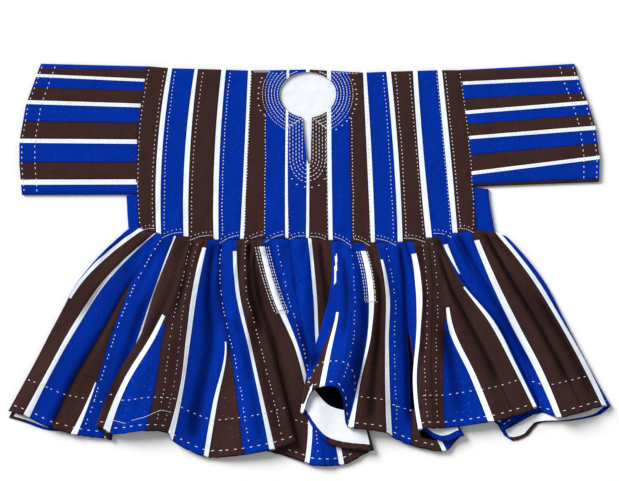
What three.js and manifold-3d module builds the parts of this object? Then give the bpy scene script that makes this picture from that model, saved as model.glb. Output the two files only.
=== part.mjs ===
// Fugu smock, laid out flat on its back: a wide striped body with short wide sleeves and a flared, pleated skirt.
// Millimetres. The origin is on the surface under the middle of the garment. +X runs along the wearer's left
// sleeve, +Y points to the neck and +Z comes up out of the front.
import * as THREE from 'three';
import { mergeVertices } from 'three/addons/utils/BufferGeometryUtils.js';
import Module from 'manifold-3d';

const wasm = await Module();
wasm.setup();

const SEAM = 0.3; // gap between pieces that are sewn to each other
const CLOTH = 2; // doubled strip cloth of the back, sleeves and side gores
const FRONT_WALL = 2.6; // front body, which is lined
const SKIRT_WALL = 2.2; // pleated skirt, with its lining
const LINING = 1; // the thin white lining where it shows
const FRONT_BASE = 5.6; // underside of the front body
const FRONT_MID = FRONT_BASE + FRONT_WALL / 2;
const TUBE_HEIGHT = 7.6; // a flattened sleeve, both layers with the air between them

const BLUE = { color: 0x0a35a8, roughness: 0.85 };
const BROWN = { color: 0x40302e, roughness: 0.9 };
const WHITE = { color: 0xe9eef5, roughness: 0.9 };

// Neckline: an oval with a front slit below it.
const NECK = { x: -3.6, y: 343, halfWidth: 57, rise: 43.6, drop: 48 };
const SLIT = [
  { x: -14.8, y: 300 }, { x: -11.2, y: 264 }, { x: -5.6, y: 212 }, { x: -2.2, y: 201 },
  { x: 2.6, y: 210 }, { x: 3, y: 242 }, { x: 4.8, y: 300 },
];

// Edges of the body panel, each from one end to the other.
const SHOULDER_LINE = [
  { x: -324, y: 398 }, { x: -279, y: 394 }, { x: -172, y: 391 }, { x: -109, y: 389 }, { x: -4, y: 391.5 },
  { x: 109, y: 385 }, { x: 155, y: 387 }, { x: 261, y: 390 }, { x: 303, y: 390 },
];
const ARMHOLE_LEFT = [
  { x: -324, y: 398 }, { x: -336, y: 332 }, { x: -345, y: 273 }, { x: -346, y: 194 }, { x: -342, y: 135 },
  { x: -341, y: 74 },
];
const ARMHOLE_RIGHT = [
  { x: 303, y: 390 }, { x: 306, y: 353 }, { x: 314, y: 286 }, { x: 322, y: 219 }, { x: 326, y: 156 },
  { x: 332, y: 71 },
];
// Both skirts have a line at each point of the waist seam, so that the pieces follow one edge.
const WAIST_LINE = [
  { x: -362, y: 73 }, { x: -341, y: 74 }, { x: -299, y: 61 }, { x: -181, y: 50 }, { x: -3, y: 54 },
  { x: 89, y: 44 }, { x: 189, y: 45 }, { x: 249, y: 55 }, { x: 332, y: 71 }, { x: 372, y: 66 },
  { x: 395, y: 57 },
];
const UNDERARM = { left: 141, right: 157 }; // where each sleeve ends on its armhole
const CUFF_LEFT = [
  { x: -538, y: 403 }, { x: -568, y: 320 }, { x: -581, y: 246 }, { x: -581, y: 202 }, { x: -576, y: 141 },
];
const CUFF_RIGHT = [
  { x: 531, y: 403 }, { x: 539, y: 372 }, { x: 557, y: 325 }, { x: 573, y: 274 }, { x: 581, y: 215 },
  { x: 580, y: 167 },
];
const GORE_LEFT = [{ x: -366, y: 136 }, { x: -364, y: 99 }, { x: -362, y: 74 }];
const GORE_RIGHT = [{ x: 358, y: 152 }, { x: 359, y: 134 }, { x: 363, y: 108 }, { x: 370, y: 68 }];

// Front skirt, a row for each line that runs from waist to hem: x at the waist and a quarter, half and three quarters
// (lower) of the way down, x and y at the hem, and the height of the middle of the wall at half way and at the hem.
// turn is set where the cloth doubles back: +1 where the next layer lies on top, -1 where it lies beneath.
const FRONT_LINES = [
  { waist: -362, quarter: -453, half: -505.5, lower: -553, hemX: -603, hemY: -301, zHalf: 4.8, zHem: 4.8 },
  { waist: -341, quarter: -450.5, half: -503.8, lower: -551.5, hemX: -601.5, hemY: -301.3, zHalf: 5.1, zHem: 5.1 },
  { waist: -334, quarter: -436, half: -502.5, lower: -550, hemX: -600, hemY: -301.6, zHalf: 5.6, zHem: 5.6 },
  { waist: -310, quarter: -408.5, half: -472, lower: -523, hemX: -573, hemY: -312, zHalf: 12, zHem: 14 },
  { waist: -308, quarter: -401, half: -462.5, lower: -515, hemX: -560.5, hemY: -318, zHalf: 12, zHem: 14 },
  { waist: -299, quarter: -361, half: -415.5, lower: -473, hemX: -518, hemY: -331, zHalf: 9, zHem: 11 },
  { waist: -296, quarter: -357.5, half: -399.5, lower: -430.5, hemX: -478, hemY: -338, zHalf: 8.4, zHem: 8 },
  { waist: -294.5, quarter: -356.5, half: -398, lower: -428.5, hemX: -466, hemY: -341, zHalf: 8, zHem: 8 },
  { waist: -271, quarter: -309, half: -343.5, lower: -380, hemX: -412, hemY: -348, zHalf: 6.5, zHem: 6 },
  { waist: -267, quarter: -303.5, half: -336, lower: -372, hemX: -397, hemY: -351, zHalf: 8.5, zHem: 8.5, turn: 1 },
  { waist: -263, quarter: -299, half: -333.5, lower: -389.5, hemX: -427, hemY: -325, zHalf: 15, zHem: 15, turn: 1 },
  { waist: -247.5, quarter: -268.5, half: -313.5, lower: -372, hemX: -412, hemY: -327, zHalf: 19, zHem: 18 },
  { waist: -246, quarter: -266.8, half: -306, lower: -364, hemX: -400, hemY: -337, zHalf: 19.6, zHem: 19 },
  { waist: -244, quarter: -264.5, half: -292, lower: -306.5, hemX: -327, hemY: -331, zHalf: 21, zHem: 23 },
  { waist: -210, quarter: -233, half: -246, lower: -258, hemX: -283, hemY: -337, zHalf: 16, zHem: 15 },
  { waist: -203, quarter: -224, half: -238.5, lower: -253, hemX: -274, hemY: -352, zHalf: 13, zHem: 12 },
  { waist: -181, quarter: -185, half: -169, lower: -193, hemX: -212, hemY: -384, zHalf: 9, zHem: 8 },
  { waist: -179.5, quarter: -183.7, half: -166, lower: -185, hemX: -203, hemY: -386, zHalf: 9.5, zHem: 8 },
  { waist: -178, quarter: -182.6, half: -161, lower: -144.5, hemX: -132, hemY: -380, zHalf: 10.4, zHem: 16 },
  { waist: -153, quarter: -147, half: -123, lower: -100.5, hemX: -80, hemY: -370, zHalf: 20, zHem: 20 },
  { waist: -146, quarter: -140, half: -117, lower: -93.5, hemX: -69, hemY: -368, zHalf: 18, zHem: 18 },
  { waist: -112, quarter: -108, half: -78.5, lower: -53, hemX: -27, hemY: -356, zHalf: 14, zHem: 14, turn: -1 },
  { waist: -110, quarter: -104, half: -72, lower: -70, hemX: -85, hemY: -374, zHalf: 7.6, zHem: 7.6, turn: -1 },
  { waist: -101, quarter: -75, half: -27, lower: -4, hemX: -10, hemY: -396, zHalf: 5, zHem: 5 },
  { waist: -95, quarter: -62, half: -19, lower: 4.5, hemX: -1, hemY: -400, zHalf: 5, zHem: 5 },
  { waist: -40, quarter: -27, half: -3, lower: 14, hemX: 32, hemY: -403, zHalf: 8, zHem: 9 },
  { waist: -3, quarter: 7.3, half: 14.5, lower: 38, hemX: 60, hemY: -402, zHalf: 5.5, zHem: 5 },
  { waist: 3.5, quarter: 14.3, half: 21.5, lower: 47, hemX: 70, hemY: -401, zHalf: 5, zHem: 5 },
  { waist: 38, quarter: 52, half: 76, lower: 102, hemX: 128, hemY: -372, zHalf: 8, zHem: 8, turn: 1 },
  { waist: 41.5, quarter: 48, half: 48, lower: 42, hemX: 34, hemY: -356, zHalf: 12, zHem: 12 },
  { waist: 45, quarter: 44, half: 24, lower: -3, hemX: -17, hemY: -296, zHalf: 16, zHem: 16, turn: 1 },
  { waist: 49, quarter: 56, half: 51, lower: 23, hemX: 4, hemY: -252, zHalf: 22, zHem: 27 },
  { waist: 51, quarter: 57.5, half: 53.2, lower: 35, hemX: 20, hemY: -243, zHalf: 23.5, zHem: 38 },
  { waist: 53, quarter: 59, half: 58, lower: 43.5, hemX: 30, hemY: -241, zHalf: 26, zHem: 44 },
  { waist: 77, quarter: 82, half: 84, lower: 74, hemX: 52, hemY: -242, zHalf: 33, zHem: 48 },
  { waist: 89, quarter: 100, half: 103, lower: 94, hemX: 66, hemY: -268, zHalf: 28, zHem: 39 },
  { waist: 98, quarter: 117, half: 116, lower: 98, hemX: 76, hemY: -324, zHalf: 22, zHem: 21 },
  { waist: 107, quarter: 128, half: 122.5, lower: 102, hemX: 88, hemY: -326, zHalf: 25, zHem: 25 },
  { waist: 134, quarter: 151.5, half: 151, lower: 151, hemX: 154, hemY: -336, zHalf: 18, zHem: 18 },
  { waist: 136, quarter: 159, half: 158, lower: 160, hemX: 165, hemY: -344, zHalf: 15, zHem: 14 },
  { waist: 186, quarter: 194, half: 198.5, lower: 202, hemX: 204, hemY: -362, zHalf: 7, zHem: 6 },
  { waist: 187.5, quarter: 195.7, half: 203, lower: 225, hemX: 267, hemY: -374, zHalf: 6.4, zHem: 6 },
  { waist: 188.5, quarter: 197.2, half: 205.5, lower: 230, hemX: 275, hemY: -372, zHalf: 6.4, zHem: 6 },
  { waist: 190.5, quarter: 203, half: 222, lower: 262, hemX: 309, hemY: -342, zHalf: 9, zHem: 9, turn: 1 },
  { waist: 199, quarter: 216, half: 214, lower: 207.5, hemX: 219, hemY: -330, zHalf: 15.6, zHem: 15.6, turn: 1 },
  { waist: 206.5, quarter: 224.5, half: 221, lower: 214, hemX: 226, hemY: -327, zHalf: 22, zHem: 24 },
  { waist: 237, quarter: 245, half: 243, lower: 243, hemX: 249, hemY: -325, zHalf: 24, zHem: 26 },
  { waist: 249, quarter: 268, half: 269, lower: 266, hemX: 269.5, hemY: -326, zHalf: 19, zHem: 20 },
  { waist: 250.5, quarter: 269.8, half: 279, lower: 321, hemX: 357, hemY: -314, zHalf: 19.5, zHem: 20 },
  { waist: 252, quarter: 271.3, half: 288.5, lower: 332, hemX: 369, hemY: -312, zHalf: 20.5, zHem: 24 },
  { waist: 254, quarter: 278, half: 325, lower: 370, hemX: 407, hemY: -302, zHalf: 20, zHem: 23 },
  { waist: 257, quarter: 297.5, half: 360, lower: 406, hemX: 448.5, hemY: -288, zHalf: 18, zHem: 18 },
  { waist: 260.5, quarter: 303, half: 372.5, lower: 416.5, hemX: 458, hemY: -284, zHalf: 15, zHem: 15, turn: -1 },
  { waist: 263, quarter: 306.5, half: 376, lower: 384, hemX: 385, hemY: -318, zHalf: 8.5, zHem: 8.5, turn: -1 },
  { waist: 271, quarter: 313, half: 384, lower: 396, hemX: 395, hemY: -316, zHalf: 8, zHem: 8 },
  { waist: 283, quarter: 335, half: 392, lower: 436, hemX: 462, hemY: -296, zHalf: 6, zHem: 7 },
  { waist: 322, quarter: 359, half: 403, lower: 452, hemX: 493, hemY: -304, zHalf: 14, zHem: 15 },
  { waist: 332, quarter: 370.5, half: 416.5, lower: 465, hemX: 503.5, hemY: -304, zHalf: 21, zHem: 24 },
  { waist: 351, quarter: 400, half: 454, lower: 503, hemX: 546, hemY: -298, zHalf: 19, zHem: 22 },
  { waist: 372, quarter: 441, half: 496, lower: 544, hemX: 586, hemY: -290, zHalf: 12, zHem: 12 },
  { waist: 381, quarter: 449, half: 502.5, lower: 553, hemX: 594.5, hemY: -288, zHalf: 8, zHem: 8 },
  { waist: 395, quarter: 466.5, half: 511.5, lower: 556, hemX: 603, hemY: -284, zHalf: 4.8, zHem: 4.8 },
];
const FOLD_RISE = 3; // half the height between the two layers at a crease
const FOLD_REACH = { waist: 0.4, open: 4 }; // how far a crease's round reaches into its layers
const FOLD_START = 0.3; // part of the way down by which the pleats have their height
const PAST_HEM = 1.08; // how far a line is followed past its hem to find its neighbour's slope

// Back skirt, lying flat beneath: the same columns, with no height.
const BACK_LINES = [
  { waist: -362, quarter: -453, half: -505.5, lower: -553, hemX: -601, hemY: -302 },
  { waist: -341, quarter: -425, half: -472, lower: -521, hemX: -570, hemY: -308 },
  { waist: -299, quarter: -367, half: -418, lower: -469, hemX: -520, hemY: -316 },
  { waist: -181, quarter: -228, half: -266, lower: -305, hemX: -345, hemY: -326 },
  { waist: -120, quarter: -150, half: -178, lower: -205, hemX: -232, hemY: -329 },
  { waist: -60, quarter: -78, half: -93, lower: -106, hemX: -119, hemY: -334 },
  { waist: -3, quarter: -4, half: -5.5, lower: -7, hemX: -8, hemY: -330 },
  { waist: 89, quarter: 102, half: 115, lower: 128, hemX: 140, hemY: -326 },
  { waist: 189, quarter: 213, half: 240, lower: 270, hemX: 300, hemY: -318 },
  { waist: 220, quarter: 252, half: 288, lower: 325, hemX: 363, hemY: -310 },
  { waist: 230, quarter: 263, half: 300, lower: 338, hemX: 377, hemY: -320 },
  { waist: 240, quarter: 274, half: 312, lower: 351, hemX: 391, hemY: -343 },
  { waist: 249, quarter: 285, half: 325, lower: 366, hemX: 407, hemY: -353 },
  { waist: 272, quarter: 312, half: 355, lower: 397, hemX: 439, hemY: -341 },
  { waist: 290, quarter: 330, half: 373, lower: 415, hemX: 458, hemY: -319 },
  { waist: 332, quarter: 392, half: 440, lower: 485, hemX: 529, hemY: -311 },
  { waist: 372, quarter: 446, half: 491, lower: 538, hemX: 584, hemY: -298 },
  { waist: 395, quarter: 466.5, half: 511.5, lower: 556, hemX: 603, hemY: -284 },
];
// Parts of the way down where the front skirt has its rows of points.
const ROWS = [0, 0.04, 0.1, 0.17, 0.24, 0.31, 0.4, 0.5, 0.6, 0.7, 0.8, 0.9, 0.97, 1];
const BACK_ROWS = 8;

// Pocket mouths lie on a white stripe of the skirt: the line at its left edge, and the rows they run between.
const POCKETS = [
  { name: 'pocket_left', line: 23, fromRow: 1, toRow: 5 },
  { name: 'pocket_right', line: 36, fromRow: 1, toRow: 5 },
];
// White lining that shows on the doubled-back layer inside the two open flutes, from the line of its right crease.
const FLUTE_LININGS = [
  { name: 'lining_flute_centre', line: 28, width: 2, fromRow: 9, toRow: 12 },
  { name: 'lining_flute_right', line: 43, width: 1, fromRow: 10, toRow: 12 },
];

const mix = (a, b, t) => a + (b - a) * t;
const clamp = (value, low, high) => Math.min(high, Math.max(low, value));
const ease = (value) => {
  const t = clamp(value, 0, 1);
  return t * t * (3 - 2 * t);
};
const add = (a, b, scale = 1) => a.map((value, k) => value + b[k] * scale);

// The point part of the way along a polyline of {x, y} rows, by its length.
function along(line, part) {
  const spans = line.slice(1).map((end, k) => Math.hypot(end.x - line[k].x, end.y - line[k].y));
  let left = clamp(part, 0, 1) * spans.reduce((sum, span) => sum + span, 0);
  let k = 0;
  while (k < spans.length - 1 && left > spans[k]) {
    left -= spans[k];
    k += 1;
  }
  const t = Math.min(1, left / spans[k]);
  return { x: mix(line[k].x, line[k + 1].x, t), y: mix(line[k].y, line[k + 1].y, t) };
}

// One coordinate of a polyline as a function of the other one, for a line that always moves on.
function across(line, value, from = 'x', to = 'y') {
  const sign = Math.sign(line[line.length - 1][from] - line[0][from]);
  let k = 0;
  while (k < line.length - 2 && (value - line[k + 1][from]) * sign > 0) k += 1;
  const t = (value - line[k][from]) / (line[k + 1][from] - line[k][from]);
  return mix(line[k][to], line[k + 1][to], clamp(t, 0, 1));
}

// A smooth curve through five evenly spaced values from the waist to the hem, carried straight on past the hem.
function flare(line, v) {
  const values = [line.waist, line.quarter, line.half, line.lower, line.hemX];
  const last = values.length - 1;
  const slopes = values.map((_, k) => (k > 0 && k < last ? (values[k + 1] - values[k - 1]) / 2 : 0));
  slopes[0] = 2 * (values[1] - values[0]) - slopes[1];
  slopes[last] = 2 * (values[last] - values[last - 1]) - slopes[last - 1];
  if (v > 1) return values[last] + slopes[last] * last * (v - 1);
  const k = Math.min(last - 1, Math.floor(v * last));
  const t = v * last - k;
  return mix(values[k], values[k + 1], ease(t)) + (slopes[k] * (1 - t) - slopes[k + 1] * t) * t * (1 - t);
}

// A closed solid from an outer and an inner grid of points: an open sheet, or a tube where round is true.
function wall(columns, rows, outer, inner, round = false) {
  const points = [];
  for (const side of [outer, inner]) {
    for (let j = 0; j < rows; j += 1) {
      for (let i = 0; i < columns; i += 1) points.push(...side(i, j));
    }
  }
  const at = (side, i, j) => side * columns * rows + j * columns + (i % columns);
  const faces = [];
  const quad = (a, b, c, d) => faces.push(a, b, c, a, c, d);
  const spans = round ? columns : columns - 1;
  for (let i = 0; i < spans; i += 1) {
    for (let j = 0; j < rows - 1; j += 1) {
      quad(at(0, i, j), at(0, i, j + 1), at(0, i + 1, j + 1), at(0, i + 1, j));
      quad(at(1, i, j), at(1, i + 1, j), at(1, i + 1, j + 1), at(1, i, j + 1));
    }
    quad(at(0, i, 0), at(0, i + 1, 0), at(1, i + 1, 0), at(1, i, 0));
    quad(at(0, i + 1, rows - 1), at(0, i, rows - 1), at(1, i, rows - 1), at(1, i + 1, rows - 1));
  }
  for (let j = 0; j < rows - 1 && !round; j += 1) {
    const last = columns - 1;
    quad(at(0, 0, j + 1), at(0, 0, j), at(1, 0, j), at(1, 0, j + 1));
    quad(at(0, last, j), at(0, last, j + 1), at(1, last, j + 1), at(1, last, j));
  }
  const geometry = new THREE.BufferGeometry();
  geometry.setAttribute('position', new THREE.Float32BufferAttribute(points, 3));
  geometry.setIndex(volume(points, faces) < 0 ? faces.reverse() : faces);
  return geometry;
}

function volume(points, faces) {
  let sum = 0;
  const corner = (k) => new THREE.Vector3().fromArray(points, faces[k] * 3);
  for (let k = 0; k < faces.length; k += 3) {
    sum += corner(k).dot(corner(k + 1).cross(corner(k + 2)));
  }
  return sum / 6;
}

// A flat panel between a lower and an upper height, over a grid of {x, y} points. columns is their number, or a list
// of the parts of the way across where they stand.
function panel(columns, rows, place, low, high) {
  const parts = Array.isArray(columns) ? columns : [...Array(columns).keys()].map((k) => k / (columns - 1));
  const level = (z) => (i, j) => {
    const point = place(parts[i], j / (rows - 1));
    return [point.x, point.y, z];
  };
  return wall(parts.length, rows, level(high), level(low));
}

function toManifold(geometry) {
  const bare = geometry.clone();
  bare.deleteAttribute('normal');
  bare.deleteAttribute('uv');
  const merged = mergeVertices(bare);
  return new wasm.Manifold(new wasm.Mesh({
    numProp: 3,
    vertProperties: new Float32Array(merged.attributes.position.array),
    triVerts: new Uint32Array(merged.index.array),
  }));
}

function fromManifold(solid) {
  const mesh = solid.getMesh();
  const geometry = new THREE.BufferGeometry();
  geometry.setAttribute('position', new THREE.Float32BufferAttribute(mesh.vertProperties, 3));
  geometry.setIndex([...mesh.triVerts]);
  return geometry;
}

// Parts of the way across the body where the waist seam bends, with others spread between them.
const BODY_LEFT = ARMHOLE_LEFT[ARMHOLE_LEFT.length - 1].x;
const BODY_RIGHT = ARMHOLE_RIGHT[ARMHOLE_RIGHT.length - 1].x;
function bodyColumns(between) {
  const bends = WAIST_LINE.map((point) => point.x).filter((x) => x >= BODY_LEFT && x <= BODY_RIGHT);
  const low = BODY_LEFT + SEAM;
  const width = BODY_RIGHT - SEAM - low;
  const parts = bends.map((x) => clamp((x - low) / width, 0, 1));
  return parts.slice(1).flatMap((end, k) => {
    const count = Math.max(1, Math.round(((end - parts[k]) * width) / between));
    return [...Array(count).keys()].map((m) => mix(parts[k], end, m / count));
  }).concat(1);
}

// The front body between its armholes, shoulder line and waist seam, for s from left to right and t downwards.
function bodyPlace(s, t) {
  const top = SHOULDER_LINE[0];
  const topX = mix(top.x, SHOULDER_LINE[SHOULDER_LINE.length - 1].x, s);
  const topY = across(SHOULDER_LINE, topX);
  const guess = mix(topY, across(WAIST_LINE, mix(BODY_LEFT, BODY_RIGHT, s)), t);
  const left = across(ARMHOLE_LEFT, guess, 'y', 'x') + SEAM;
  const right = across(ARMHOLE_RIGHT, guess, 'y', 'x') - SEAM;
  const x = mix(left, right, s);
  return { x, y: mix(topY, across(WAIST_LINE, x) + SEAM, t) };
}

function neckCutter() {
  const shape = new THREE.Shape();
  shape.absellipse(NECK.x, NECK.y, NECK.halfWidth, NECK.rise, 0, Math.PI, false);
  shape.absellipse(NECK.x, NECK.y, NECK.halfWidth, NECK.drop, Math.PI, 2 * Math.PI, false);
  const slit = new THREE.Shape(SLIT.map((point) => new THREE.Vector2(point.x, point.y)));
  const options = { depth: 2 * FRONT_WALL, bevelEnabled: false, curveSegments: 14 };
  const parts = [shape, slit].map((outline) => {
    const geometry = new THREE.ExtrudeGeometry(outline, options);
    geometry.translate(0, 0, FRONT_BASE - FRONT_WALL / 2);
    return toManifold(geometry);
  });
  return parts[0].add(parts[1]);
}

function frontBody() {
  const sheet = panel(bodyColumns(28), 15, bodyPlace, FRONT_BASE, FRONT_BASE + FRONT_WALL);
  return fromManifold(toManifold(sheet).subtract(neckCutter()));
}

function backBody() {
  return panel(bodyColumns(40), 10, bodyPlace, 0, CLOTH);
}

// The white lining of the back, where it shows through the neck.
function neckLining() {
  const half = 92;
  const low = 180;
  const place = (s, t) => {
    const x = mix(NECK.x - half, NECK.x + half, s);
    return { x, y: mix(across(SHOULDER_LINE, x) - 1, low, t) };
  };
  return panel(7, 5, place, CLOTH + SEAM, CLOTH + SEAM + LINING);
}

// Outline of a flattened tube's section, as how far it lies inside the edge and its height: the upper layer from one
// edge to the other and back beneath. inset is 0 on the outside and the cloth's thickness on the inside.
function flatRing(width, inset, spans) {
  const radius = TUBE_HEIGHT / 2 - inset;
  const centre = TUBE_HEIGHT / 2;
  const ring = [];
  const turn = 4;
  for (const lower of [false, true]) {
    for (let k = 0; k <= spans; k += 1) {
      const part = mix(inset + radius, width - inset - radius, lower ? 1 - k / spans : k / spans);
      ring.push({ part: part / width, z: lower ? inset : TUBE_HEIGHT - inset });
    }
    for (let k = 1; k < turn; k += 1) {
      const angle = (Math.PI * k) / turn;
      const reach = radius * Math.sin(angle);
      const edge = lower ? inset + radius - reach : width - inset - radius + reach;
      ring.push({ part: edge / width, z: centre + (lower ? -1 : 1) * radius * Math.cos(angle) });
    }
  }
  return ring;
}

// One sleeve, both layers in one tube from the armhole to the cuff.
function sleeve(armhole, underarm, cuff, side) {
  const upper = armhole.filter((point) => point.y > underarm);
  const seam = [...upper, { x: across(armhole, underarm, 'y', 'x'), y: underarm }];
  const stations = 9;
  const width = seam[0].y - underarm;
  const rings = [0, CLOTH].map((inset) => flatRing(width, inset, 9));
  const layer = (ring) => (i, j) => {
    const start = along(seam, ring[i].part);
    const end = along(cuff, ring[i].part);
    const t = j / (stations - 1);
    return [mix(start.x + side * SEAM, end.x, t), mix(start.y, end.y, t), ring[i].z];
  };
  return wall(rings[0].length, stations, layer(rings[0]), layer(rings[1]), true);
}

// One side gore under the arm, folded along its outer edge.
function gore(armhole, underarm, edge, side) {
  const rows = 5;
  const section = (inset) => {
    const radius = TUBE_HEIGHT / 2 - inset;
    const round = [0, 1, 2, 3, 4].map((k) => {
      const angle = (Math.PI * k) / 4;
      return { back: TUBE_HEIGHT / 2 - radius * Math.sin(angle), z: TUBE_HEIGHT / 2 + radius * Math.cos(angle) };
    });
    return [{ seam: true, z: TUBE_HEIGHT - inset }, ...round, { seam: true, z: inset }];
  };
  const sections = [section(0), section(CLOTH)];
  const layer = (profile) => (i, j) => {
    const t = j / (rows - 1);
    const outer = along(edge, t);
    const point = profile[i];
    const seamX = across(armhole, outer.y, 'y', 'x') + side * SEAM;
    const x = point.seam ? seamX : outer.x - side * point.back;
    const top = point.seam ? underarm - 2 * SEAM : edge[0].y;
    return [x, mix(top, across(WAIST_LINE, x) + SEAM, t), point.z];
  };
  return wall(sections[0].length, rows, layer(sections[0]), layer(sections[1]));
}

// Every line of the front skirt: at(v) is the point on the middle of the wall that part of the way from waist to hem,
// and part(y) is the v where it reaches that y. A crease becomes three lines, so that the wall turns in a round.
function skirtLines(table) {
  const lines = [];
  const starts = [];
  let open = null;
  table.forEach((row, index) => {
    starts.push(lines.length);
    const top = across(WAIST_LINE, row.waist) - SEAM;
    const height = (v) => {
      const risen = mix(FRONT_MID, row.zHalf, ease(v / FOLD_START));
      return v < 0.5 ? risen : mix(row.zHalf, row.zHem, ease(2 * v - 1));
    };
    const addLine = (shift, lift) => lines.push({
      at: (v) => [flare(row, v) + shift(v), mix(top, row.hemY, v), height(v) + lift(v)],
      part: (y) => clamp((top - y) / (top - row.hemY), 0, PAST_HEM),
    });
    const none = () => 0;
    if (!row.turn) {
      addLine(none, none);
      return;
    }
    const first = open === null;
    const partner = first ? table.slice(index + 1).find((other) => other.turn) : open;
    open = first ? row : null;
    const way = first ? -1 : 1;
    const reach = (v) => way * mix(FOLD_REACH.waist, FOLD_REACH.open, ease(v / FOLD_START));
    const rise = (v) => row.turn * FOLD_RISE * ease(v / FOLD_START);
    const lap = (v) => clamp((flare(partner, v) - flare(row, v)) / (4 * reach(v)), -1, 1);
    const outward = (v) => reach(v) * (first ? 1 : lap(v));
    const inward = (v) => reach(v) * (first ? lap(v) : 1);
    addLine(outward, (v) => -rise(v));
    addLine(none, none);
    addLine(inward, rise);
  });
  return { lines, starts };
}

const SKIRT = skirtLines(FRONT_LINES);

// The way out of the cloth at a point of the skirt, from the line itself and its neighbours at the same height.
function skirtNormal(i, v) {
  const step = 0.02;
  const line = SKIRT.lines[i];
  const y = line.at(v)[1];
  const beside = [Math.max(0, i - 1), Math.min(SKIRT.lines.length - 1, i + 1)].map((k) => {
    const other = SKIRT.lines[k];
    return other.at(other.part(y));
  });
  const wide = new THREE.Vector3(...add(beside[1], beside[0], -1));
  const down = new THREE.Vector3(...add(line.at(Math.min(1, v + step)), line.at(Math.max(0, v - step)), -1));
  return down.cross(wide).normalize().toArray();
}

function frontSkirt() {
  const side = (sign) => (i, j) => {
    return add(SKIRT.lines[i].at(ROWS[j]), skirtNormal(i, ROWS[j]), (sign * SKIRT_WALL) / 2);
  };
  return wall(SKIRT.lines.length, ROWS.length, side(1), side(-1));
}

// A thin layer on the skirt between two of its lines and two of its rows, moved out along its normals.
function skirtLayer(first, width, fromRow, toRow, face) {
  const base = SKIRT_WALL / 2 + SEAM;
  const side = (out) => (i, j) => {
    const v = ROWS[fromRow + j];
    return add(SKIRT.lines[first + i].at(v), skirtNormal(first + i, v), face * out);
  };
  return wall(width + 1, toRow - fromRow + 1, side(base + LINING), side(base));
}

function pocket({ line, fromRow, toRow }) {
  return skirtLayer(SKIRT.starts[line], 1, fromRow, toRow, 1);
}

// The layer from the last line of the right crease to the first of the left one, on the side that faces up.
function fluteLining({ line, width, fromRow, toRow }) {
  return skirtLayer(SKIRT.starts[line] + 2, width, fromRow, toRow, -1);
}

function backSkirt() {
  const place = (s, t) => {
    const row = BACK_LINES[Math.round(s * (BACK_LINES.length - 1))];
    const top = across(WAIST_LINE, row.waist) - SEAM;
    return { x: flare(row, t), y: mix(top, row.hemY, t) };
  };
  return panel(BACK_LINES.length, BACK_ROWS, place, 0, CLOTH);
}

function backSkirtLining() {
  const inset = 0.985;
  const place = (s, t) => {
    const row = BACK_LINES[Math.round(s * (BACK_LINES.length - 1))];
    const top = across(WAIST_LINE, row.waist) - SEAM;
    const v = mix(0.02, inset, t);
    return { x: flare(row, v) * inset, y: mix(top, row.hemY, v) };
  };
  return panel(BACK_LINES.length, BACK_ROWS, place, CLOTH + SEAM, CLOTH + SEAM + LINING);
}

const smock = new THREE.Group();

function piece(name, geometry, { color, roughness }) {
  const mesh = new THREE.Mesh(geometry, new THREE.MeshStandardMaterial({ color, roughness, metalness: 0 }));
  mesh.name = name;
  smock.add(mesh);
}

piece('back_bodice', backBody(), BLUE);
piece('lining_back', neckLining(), WHITE);
piece('front_bodice', frontBody(), BLUE);
piece('sleeve_left', sleeve(ARMHOLE_LEFT, UNDERARM.left, CUFF_LEFT, -1), BROWN);
piece('sleeve_right', sleeve(ARMHOLE_RIGHT, UNDERARM.right, CUFF_RIGHT, 1), BROWN);
piece('gore_left', gore(ARMHOLE_LEFT, UNDERARM.left, GORE_LEFT, -1), BLUE);
piece('gore_right', gore(ARMHOLE_RIGHT, UNDERARM.right, GORE_RIGHT, 1), BLUE);
piece('skirt_back', backSkirt(), BROWN);
piece('lining_skirt_back', backSkirtLining(), WHITE);
piece('skirt_front', frontSkirt(), BLUE);
POCKETS.forEach((row) => piece(row.name, pocket(row), WHITE));
FLUTE_LININGS.forEach((row) => piece(row.name, fluteLining(row), WHITE));

export default smock;
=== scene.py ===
"""Striped smock laid out flat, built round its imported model: woven strips, pleats, linings and hand stitching.

Tables hold millimetres in the model's frame: +X to the right of the front, +Y from hem to neck, +Z out of the front.
"""
import bpy
import math
import numpy as np
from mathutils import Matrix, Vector, noise
from mathutils.bvhtree import BVHTree


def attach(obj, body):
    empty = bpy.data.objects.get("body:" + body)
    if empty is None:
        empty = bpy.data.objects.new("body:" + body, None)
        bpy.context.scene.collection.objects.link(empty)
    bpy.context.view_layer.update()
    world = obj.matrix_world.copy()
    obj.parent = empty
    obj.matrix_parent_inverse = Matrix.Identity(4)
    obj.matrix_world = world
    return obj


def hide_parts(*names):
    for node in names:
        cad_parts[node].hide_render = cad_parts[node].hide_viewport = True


bl_info = {
    "name": "Striped Smock",
    "version": (1, 0, 0),
    "blender": (4, 5, 0),
    "location": "View3D > Sidebar > Smock",
    "description": "Builds a striped smock laid out flat, in its packed model's frame",
    "category": "Add Mesh",
}

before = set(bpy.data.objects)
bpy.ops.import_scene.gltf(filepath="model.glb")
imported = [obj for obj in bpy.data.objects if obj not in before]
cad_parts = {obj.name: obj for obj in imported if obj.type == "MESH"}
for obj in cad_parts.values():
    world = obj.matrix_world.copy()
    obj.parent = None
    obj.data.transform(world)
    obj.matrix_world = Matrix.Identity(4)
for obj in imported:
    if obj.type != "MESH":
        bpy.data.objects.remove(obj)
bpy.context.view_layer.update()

MM = 0.001

# The picture: its size in pixels, the real size of a pixel, and the height in the frame of its middle.
PHOTO_WIDTH = 619
MM_PER_PIXEL = 2.0
PHOTO_MIDDLE_Y = 49.0

# Yarn colours, and a painted shadow: the near black that stands for the dark inside a deep fold.
BLUE, BROWN, WHITE, PAINTED_SHADOW = 0, 1, 2, 3

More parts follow.
